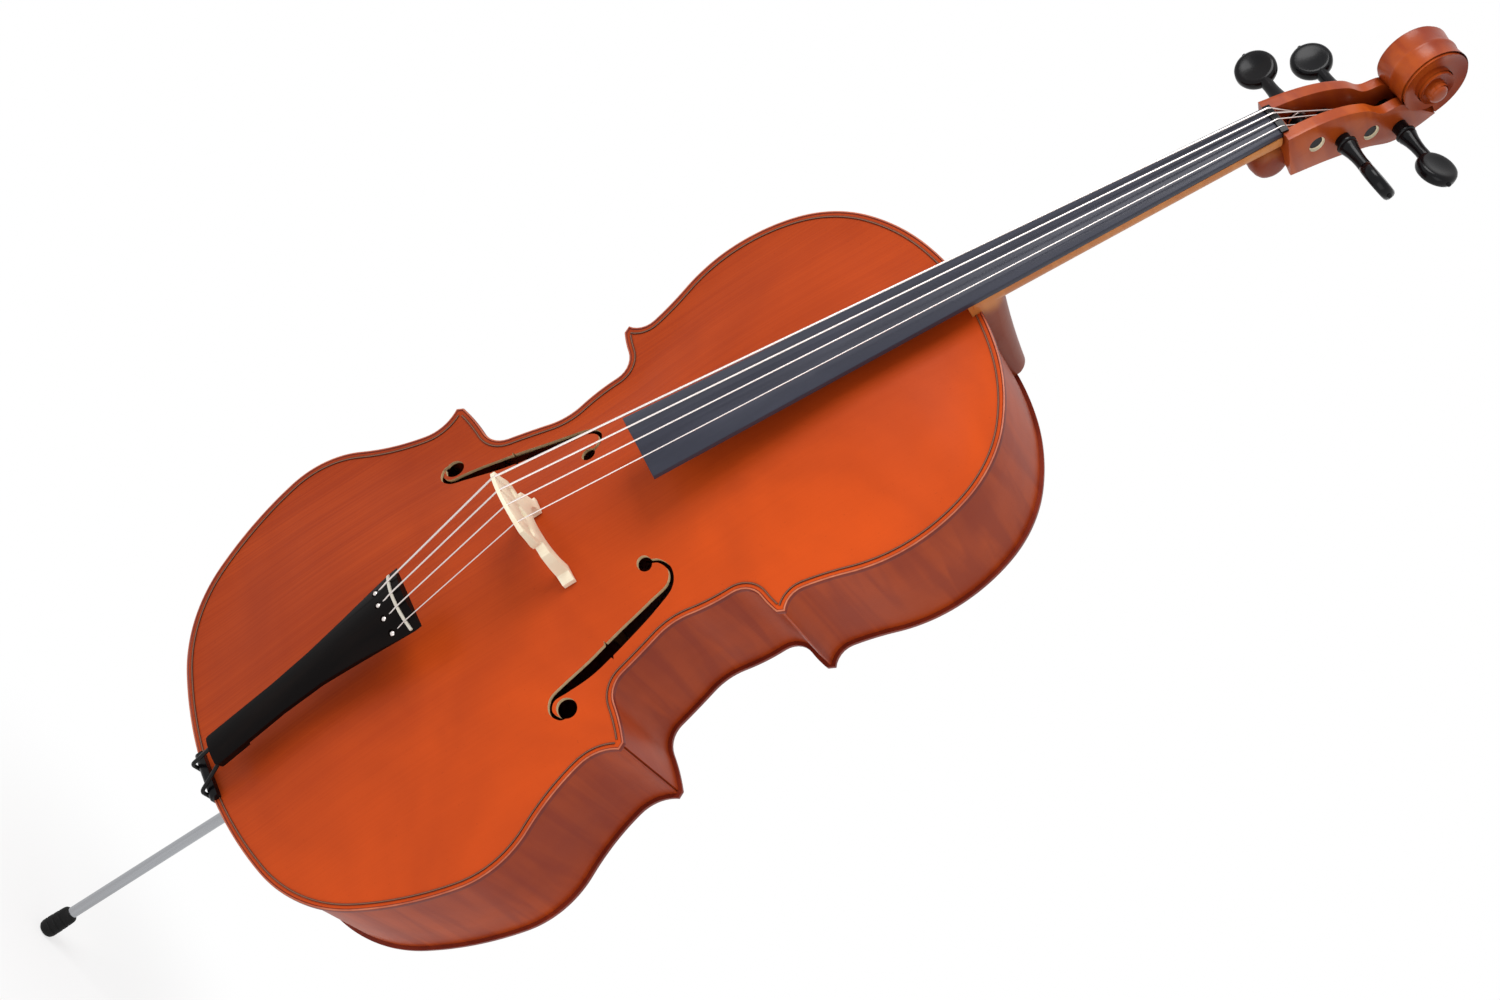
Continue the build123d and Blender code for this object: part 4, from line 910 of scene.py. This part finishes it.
def make_head():
    """Pegbox and scroll."""
    box = bmesh.new()
    rear = smooth_through(PEGBOX_REAR, 6)
    front = smooth_through(PEGBOX_FRONT, 6)
    half = [share for share, _ in FLUTES[1:]] + [1]
    side_prism(box, rear + front, CHEEK_OUTSIDE, [-share for share in reversed(half)] + [0] + half)
    back_line = {(round(y, 2), round(NUT_Z + up, 2)) for y, up in rear}
    for vert in box.verts:
        if (round(vert.co.y, 2), round(vert.co.z, 2)) in back_line:
            share = abs(vert.co.x) / cheek(CHEEK_OUTSIDE, vert.co.z - NUT_Z)
            depth = min(FLUTES, key=lambda flute: abs(flute[0] - share))[1]
            vert.co += INTO_BACK * depth
    flanks = [face for face in box.faces if len(face.verts) > 4]
    round_edges(box, list(dict.fromkeys(edge for face in flanks for edge in face.edges)), CHAMFER)
    nodes, woods = ["neck_and_scroll"], [HEAD_WOOD, BRIDGE_WOOD]
    piece = make_piece(box, "pegbox_carved", woods, "instrument", nodes, 30)
    cavity = bmesh.new()
    side_prism(cavity, smooth_through(CAVITY_REAR, 5) + smooth_through(CAVITY_FRONT, 5), CHEEK_INSIDE)
    cut(piece, [cavity], 30)
    for side, y, up, _ in PEGS.values():
        hole, rim = bmesh.new(), bmesh.new()
        wider = side * PEG_TAPER * HOLE_HALF
        through = Matrix.Translation((0, y, NUT_Z + up)) @ Matrix.Rotation(math.pi / 2, 4, "Y")
        bmesh.ops.create_cone(
            hole, cap_ends=True, segments=40, radius1=PEG_RADIUS - wider + PEG_PLAY,
            radius2=PEG_RADIUS + wider + PEG_PLAY, depth=2 * HOLE_HALF, matrix=through,
        )
        at_end = Matrix.Translation((-side * (cheek(CHEEK_OUTSIDE, up) + PALE_RING_SHIFT), y, NUT_Z + up))
        bmesh.ops.create_cone(
            rim, cap_ends=True, segments=40, radius1=PEG_RADIUS + PALE_RING_WIDTHS[0],
            radius2=PEG_RADIUS + PALE_RING_WIDTHS[1], depth=PALE_RING_DEPTH,
            matrix=at_end @ Matrix.Rotation(-side * math.pi / 2, 4, "Y"),
        )
        cut(piece, [hole], 30)
        # A pale ring of bridge maple round each peg's end.
        cut(piece, [rim], 30, 1)
    scroll = bmesh.new()
    make_scroll(scroll)
    make_piece(scroll, "scroll_carved", [HEAD_WOOD], "instrument", nodes, 40, recalc=False)


NECK_TILT = 9.4                              # degrees that the fingerboard leans back
BOARD_DROP = 14.0                            # nut's top to the fingerboard's underside
NECK_TOP = 38.0                              # where the plain neck starts, below the nut
CHIN_Y, CHIN_UP = 2.5, -12.5
CHIN = [
    (-13.4, 0), (-13.4, 9.0), (-12.6, 12.2), (-10.6, 14.6), (-7, 16.2), (0, 17.0), (7, 16.2), (10.6, 14.6),
    (12.6, 12.2), (13.4, 9.0), (13.4, 0),
]


def make_neck():
    """Neck and heel, up to the nut, with the rounded chin below the pegbox."""
    bm = cad_copy("neck_and_scroll")
    tilt = math.radians(NECK_TILT)
    up_board = Vector((0, math.sin(tilt), math.cos(tilt)))
    under_nut = Vector((0, low("nut").y + BOARD_DROP, NUT_Z))
    bmesh.ops.bisect_plane(
        bm, geom=bm.verts[:] + bm.edges[:] + bm.faces[:], dist=0.001,
        plane_co=under_nut - up_board * NECK_TOP, plane_no=up_board, clear_outer=True,
    )
    rim = [edge for edge in bm.edges if len(edge.link_faces) == 1]
    sweep_ring(bm, rim, [Matrix.Translation(up_board * (NECK_TOP - 1.0))])
    turned(bm, CHIN, Matrix.Translation((0, CHIN_Y, NUT_Z + CHIN_UP)))
    make_piece(bm, "neck_and_heel", [NECK_WOOD], "instrument", ["neck_and_scroll"], 30)


# ---------------------------------------------------------------- pegs and their turns of string
PEG_HEAD_CENTRE = 73.0
PEG_HEAD_RADIUS = 18.0
PEG_RECESS = 1.8                             # how far the small end stops short of the cheek
PEG_SHAFT = 26                               # the taper's end, from the middle
PEG_BREAK = 0.7                              # chamfer of the small end
# Turned shapes: distance along the axis, radius.
PEG_NECK = [
    (26.6, 6.9), (27.0, 8.3), (27.7, 9.0), (28.9, 8.8), (29.7, 7.8), (30.4, 8.2), (31.6, 8.3), (33.5, 7.6),
    (38, 6.5), (44, 5.7), (50, 5.4), (56, 5.6), (61, 5.2), (64, 0),
]
PEG_DISC = [(4.0, 0), (4.3, 5), (4.9, 10), (5.5, 13.5), (5.3, 15.4), (4.2, 17.0), (2.2, 17.9)]
PEG_BALL = [(-2.4, 0), (-1.7, 1.7), (0, 2.4), (1.7, 1.7), (2.4, 0)]


def make_peg(name):
    """A turned peg with its flat round head."""
    side, y, up, turn = PEGS[name]
    angle = math.radians(turn)
    along, upright = Vector((side, 0, 0)), Vector((0, math.sin(angle), math.cos(angle)))
    frame_of_peg = Matrix((along, upright, along.cross(upright))).transposed().to_4x4()
    place = Matrix.Translation((0, y, NUT_Z + up)) @ frame_of_peg
    end = PEG_RECESS - cheek(CHEEK_OUTSIDE, up)
    small, large = PEG_RADIUS + PEG_TAPER * end, PEG_RADIUS + PEG_TAPER * PEG_SHAFT
    shaft = [(end, 0), (end, small - PEG_BREAK), (end + PEG_BREAK, small), (PEG_SHAFT, large)]
    bm = bmesh.new()
    turned(bm, shaft + PEG_NECK, place)
    disc = PEG_DISC + [(0, PEG_HEAD_RADIUS)] + [(-x, radius) for x, radius in reversed(PEG_DISC)]
    head = place @ Matrix.Translation((PEG_HEAD_CENTRE, 0, 0)) @ Matrix.Rotation(math.pi / 2, 4, "Y")
    turned(bm, disc, head, segments=56)
    tip = place @ Matrix.Translation((PEG_HEAD_CENTRE + PEG_HEAD_RADIUS, 0, 0))
    turned(bm, PEG_BALL, tip, segments=20)
    make_piece(bm, f"peg_{name}_turned", [EBONY], f"tuner_{name}", [f"peg_{name}"], 32, recalc=False)


STRING_DIAMETERS = {"c": 2.0, "g": 1.6, "d": 1.3, "a": 1.0}
TURN_STEPS = 28                              # of a coil's sweep, for each turn


def make_winding(name):
    """A string's turns on its peg."""
    node = f"winding_{name}"
    _, y, up, _ = PEGS[name]
    diameter = STRING_DIAMETERS[name]
    centre = Vector((0, y, NUT_Z + up))
    radius = (high(node).z - low(node).z - diameter) / 2
    span = high(node).x - low(node).x - diameter
    turns = max(1, math.floor(span / diameter))
    steps = turns * TURN_STEPS
    bm = bmesh.new()
    start = Matrix.Translation((low(node).x + diameter / 2, y, centre.z + radius)) @ FACE_ON
    made = bmesh.ops.create_circle(bm, cap_ends=True, segments=10, radius=diameter / 2, matrix=start)
    turn = Matrix.Rotation(math.tau * turns / steps, 4, "X")
    move = Matrix.Translation(centre + Vector((span / steps, 0, 0))) @ turn @ Matrix.Translation(-centre)
    sweep_ring(bm, made["verts"][0].link_faces[0].edges[:], [move] * steps)
    make_piece(bm, f"winding_{name}_coil", [WOUND], f"tuner_{name}", [node], 50)


# ---------------------------------------------------------------- fittings
def make_softened(node, material, width, degrees=45):
    """A CAD node with its edges worn round."""
    bm = cad_copy(node)
    soften(bm, width, degrees)
    make_piece(bm, f"{node}_finished", [material], "instrument", [node], 30)


TAIL_LOW_HALF = 14.0                         # half-width beyond which an edge belongs to a low corner
TAIL_LOW_REACH = 14.0                        # height above the low end that such an edge stays under
TAIL_CORNER = 7.0                            # radius of the low corners


def make_tailpiece():
    """The tailpiece, with its low corners rounded."""
    bm = cad_copy("tailpiece")
    reach = low("tailpiece").z + TAIL_LOW_REACH
    corners = [
        edge for edge in bm.edges
        if len(edge.link_faces) == 2 and edge.calc_face_angle(0.0) > 0.7
        and all(vert.co.z < reach and abs(vert.co.x) > TAIL_LOW_HALF for vert in edge.verts)
        and abs((edge.verts[0].co - edge.verts[1].co).normalized().y) > 0.9
    ]
    round_edges(bm, corners, TAIL_CORNER, 5)
    soften(bm, 0.5, 30)
    make_piece(bm, "tailpiece_finished", [TAIL_EBONY], "instrument", ["tailpiece"], 30)


# Turned shapes: height above the floor, or the screw's distance from the rod's axis, and radius.
COLLAR = [
    (202.5, 5.3), (202.5, 8.0), (202.9, 11.0), (203.9, 14.0), (205.3, 16.0), (206.8, 17.0), (208.4, 16.8),
    (209.3, 15.8), (209.7, 14.4), (210.4, 13.0), (211.9, 12.2), (213.6, 12.2), (217.4, 12.4), (217.5, 11.95),
    (243.0, 11.95), (243.0, 5.3),
]
TIP = [
    (0, 0), (0, 4.2), (0.5, 6.0), (2.0, 7.6), (4.5, 8.4), (8.0, 8.5), (8.6, 7.9), (9.6, 7.9), (10.2, 8.5),
    (14.0, 8.4), (14.6, 7.8), (15.6, 7.8), (16.2, 8.3), (20.0, 8.2), (20.6, 7.6), (21.6, 7.6), (22.2, 8.1),
    (27.0, 7.8), (28.6, 7.3), (29.6, 6.4), (29.8, 5.03), (12.0, 5.03), (12.0, 0),
]
ROD = [(12.1, 0), (12.1, 4.3), (12.8, 5.0), (477.0, 5.0), (478.0, 4.0), (478.0, 0)]
SCREW = [
    (5.5, 0), (5.5, 2.2), (6.3, 3.0), (19.8, 3.0), (20.0, 6.6), (20.7, 7.9), (25.2, 7.9), (26.0, 6.9),
    (26.0, 0),
]
SCREW_Z = 206.0
SCREW_HOLE = 3.1                             # radius
KNURL_FROM = 7.0                             # radius beyond which the screw's head is knurled
KNURL_STEP = 6                               # degrees
KNURL_SHRINK = 0.955
UPRIGHT = Matrix.Rotation(-math.pi / 2, 4, "Y")


def make_endpin():
    """Collar, rod, rubber tip and the screw that clamps them."""
    collar = bmesh.new()
    turned(collar, COLLAR, UPRIGHT, True, 64)
    nodes = ["endpin_collar"]
    piece = make_piece(collar, "collar_turned", [EBONY], "instrument", nodes, 32, recalc=False)
    hole = bmesh.new()
    bmesh.ops.create_cone(
        hole, cap_ends=True, segments=32, radius1=SCREW_HOLE, radius2=SCREW_HOLE, depth=18,
        matrix=Matrix.Translation((12, 0, SCREW_Z)) @ Matrix.Rotation(math.pi / 2, 4, "Y"),
    )
    cut(piece, [hole], 32)
    tip = bmesh.new()
    turned(tip, TIP, UPRIGHT)
    make_piece(tip, "tip_moulded", [RUBBER], "endpin", ["endpin_tip"], 32, recalc=False)
    rod = bmesh.new()
    turned(rod, ROD, UPRIGHT, segments=40)
    make_piece(rod, "rod_drawn", [STEEL], "endpin", ["endpin_rod"], 32, recalc=False)
    screw = bmesh.new()
    turned(screw, SCREW, Matrix.Translation((0, 0, SCREW_Z)), segments=60)
    for vert in screw.verts:
        away = Vector((vert.co.y, vert.co.z - SCREW_Z))
        if away.length > KNURL_FROM and round(math.degrees(math.atan2(away.y, away.x)) / KNURL_STEP) % 2:
            vert.co = Vector((vert.co.x, away.x * KNURL_SHRINK, SCREW_Z + away.y * KNURL_SHRINK))
    nodes = ["thumb_screw"]
    make_piece(screw, "clamp_screw_knurled", [SCREW_STEEL], "clamp_screw", nodes, 24, recalc=False)


# ---------------------------------------------------------------- build
bpy.context.view_layer.update()
# The CAD nodes that are shown as they are.
NODE_MATERIALS = {
    "tailpiece_fret": BONE, "tail_gut": NYLON, "corner_blocks": RIB_WOOD,
    "end_block": BARE_SPRUCE, "neck_block": BARE_SPRUCE, "linings_top": BARE_SPRUCE,
    "linings_back": BARE_SPRUCE, "bass_bar": BARE_SPRUCE, "sound_post": BARE_SPRUCE,
    "string_c": WOUND, "string_g": WOUND, "string_d": WOUND, "string_a": WOUND,
}
for node, material in NODE_MATERIALS.items():
    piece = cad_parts[node]
    piece.data.materials.clear()
    piece.data.materials.append(material)

top = make_plate("belly", -1, TOP_ARCH, TOP_WOOD, "top_plate")
for side in (1, -1):
    cut(top, f_hole_cutters(side), 40, CUT_FACE)
make_plate("back", 1, BACK_ARCH, RIB_WOOD, "back_plate")
make_purfling("belly_purfling", -1, "purfling_top")
make_purfling("back_purfling_strips", 1, "purfling_back")
for bout in BOUTS:
    for side in (1, -1):
        make_rib(bout, side)
make_head()
make_neck()
for string in STRING_DIAMETERS:
    make_peg(string)
    make_winding(string)
make_softened("fingerboard", BOARD_EBONY_SHEEN, 0.5, 25)
make_softened("nut", EBONY, 0.4)
make_softened("saddle", EBONY, 0.5)
make_softened("bridge", BRIDGE_WOOD, 0.35, 30)
make_tailpiece()
make_endpin()

# ---------------------------------------------------------------- floor, light and camera
CAMERA_PLACE = Vector((1.082, -1.6573, 0.909))
CAMERA_TURN = 32.77          # degrees round from the front towards the treble side
CAMERA_DIP = 5.25            # degrees that it looks down
CAMERA_ROLL = 57.6           # degrees that it is rolled, so the instrument lies across the view
CAMERA_LENS = 56.28
AMBIENT = 0.55                # the world's strength for all but what is seen
FOOT_PATCH = 0.35             # radius in metres within which the floor keeps some of its own shade
FOOT_WHITE = 0.7              # whiteness at its middle


def seen_rays(tree):
    """A mask of the rays that see the background: directly, in gloss and through clear pieces."""
    paths = add(tree, "ShaderNodeLightPath")
    seen = math_node(tree, "MAXIMUM", paths.outputs["Is Camera Ray"], paths.outputs["Is Transmission Ray"])
    return math_node(tree, "MAXIMUM", seen, paths.outputs["Is Glossy Ray"])


def white_behind(tree, shade):
    """Mixes the floor's shader with plain white for what the eye sees, less so under the foot."""
    seen = seen_rays(tree)
    reach = add(tree, "ShaderNodeVectorMath", operation="LENGTH")
    tree.links.new(object_coordinates(tree), reach.inputs[0])
    spread = {1: 0.0, 2: FOOT_PATCH, 3: FOOT_WHITE, 4: 1.0}
    whiteness = add(tree, "ShaderNodeMapRange", spread, interpolation_type="SMOOTHSTEP")
    tree.links.new(reach.outputs["Value"], whiteness.inputs[0])
    seen = math_node(tree, "MULTIPLY", seen, whiteness.outputs[0])
    white = add(tree, "ShaderNodeEmission", {"Color": (1, 1, 1, 1), "Strength": 1.0})
    mix = add(tree, "ShaderNodeMixShader")
    tree.links.new(seen, mix.inputs[0])
    tree.links.new(shade, mix.inputs[1])
    tree.links.new(white.outputs[0], mix.inputs[2])
    return mix.outputs[0]


def make_floor():
    """A pale floor that keeps a light shadow."""
    bm = bmesh.new()
    bmesh.ops.create_grid(bm, x_segments=2, y_segments=2, size=6000)
    floor = make_object(bm, "floor", [])
    material, tree, shader = new_material("floor_white")
    shader.inputs["Base Color"].default_value = (0.9, 0.9, 0.9, 1)
    shader.inputs["Roughness"].default_value = 0.9
    tree.links.new(white_behind(tree, shader.outputs[0]), tree.nodes["Material Output"].inputs[0])
    floor.data.materials.append(material)


def make_world():
    """Even studio light that reads as white behind the object."""
    world = bpy.data.worlds.new("studio")
    bpy.context.scene.world = world
    world.use_nodes = True
    tree = world.node_tree
    back = tree.nodes["Background"]
    extra = math_node(tree, "MULTIPLY", seen_rays(tree), 1.0 - AMBIENT)
    strength = math_node(tree, "ADD", extra, AMBIENT)
    back.inputs["Color"].default_value = (1, 1, 1, 1)
    tree.links.new(strength, back.inputs["Strength"])


def make_lamp(name, place, aim, size, power):
    """A square soft box."""
    data = bpy.data.lights.new(name, "AREA")
    data.size = size
    data.energy = power
    lamp = bpy.data.objects.new(name, data)
    bpy.context.scene.collection.objects.link(lamp)
    lamp.location = place
    lamp.rotation_euler = (Vector(aim) - Vector(place)).to_track_quat("-Z", "Y").to_euler()


def make_camera():
    """The camera, rolled so that the instrument leans across the view."""
    data = bpy.data.cameras.new("camera")
    data.lens = CAMERA_LENS
    data.sensor_width = 36.0
    data.clip_end = 50.0
    camera = bpy.data.objects.new("camera", data)
    bpy.context.scene.collection.objects.link(camera)
    turn, dip, roll = (math.radians(value) for value in (CAMERA_TURN, CAMERA_DIP, CAMERA_ROLL))
    ahead = Vector((-math.sin(turn) * math.cos(dip), math.cos(turn) * math.cos(dip), -math.sin(dip)))
    level = ahead.cross(Vector((0, 0, 1))).normalized()
    upright = level.cross(ahead)
    right = level * math.cos(roll) + upright * math.sin(roll)
    above = right.cross(ahead)
    facing = Matrix((right, above, -ahead)).transposed()
    camera.matrix_world = Matrix.Translation(CAMERA_PLACE) @ facing.to_4x4()
    bpy.context.scene.camera = camera


make_floor()
make_world()
make_lamp("key", (-0.7, -2.3, 2.6), (0, 0, 0.8), 1.6, 62)
make_lamp("fill", (2.2, -1.0, 0.6), (0, 0, 0.6), 1.8, 14)
make_camera()
bpy.context.scene.view_settings.view_transform = "Standard"
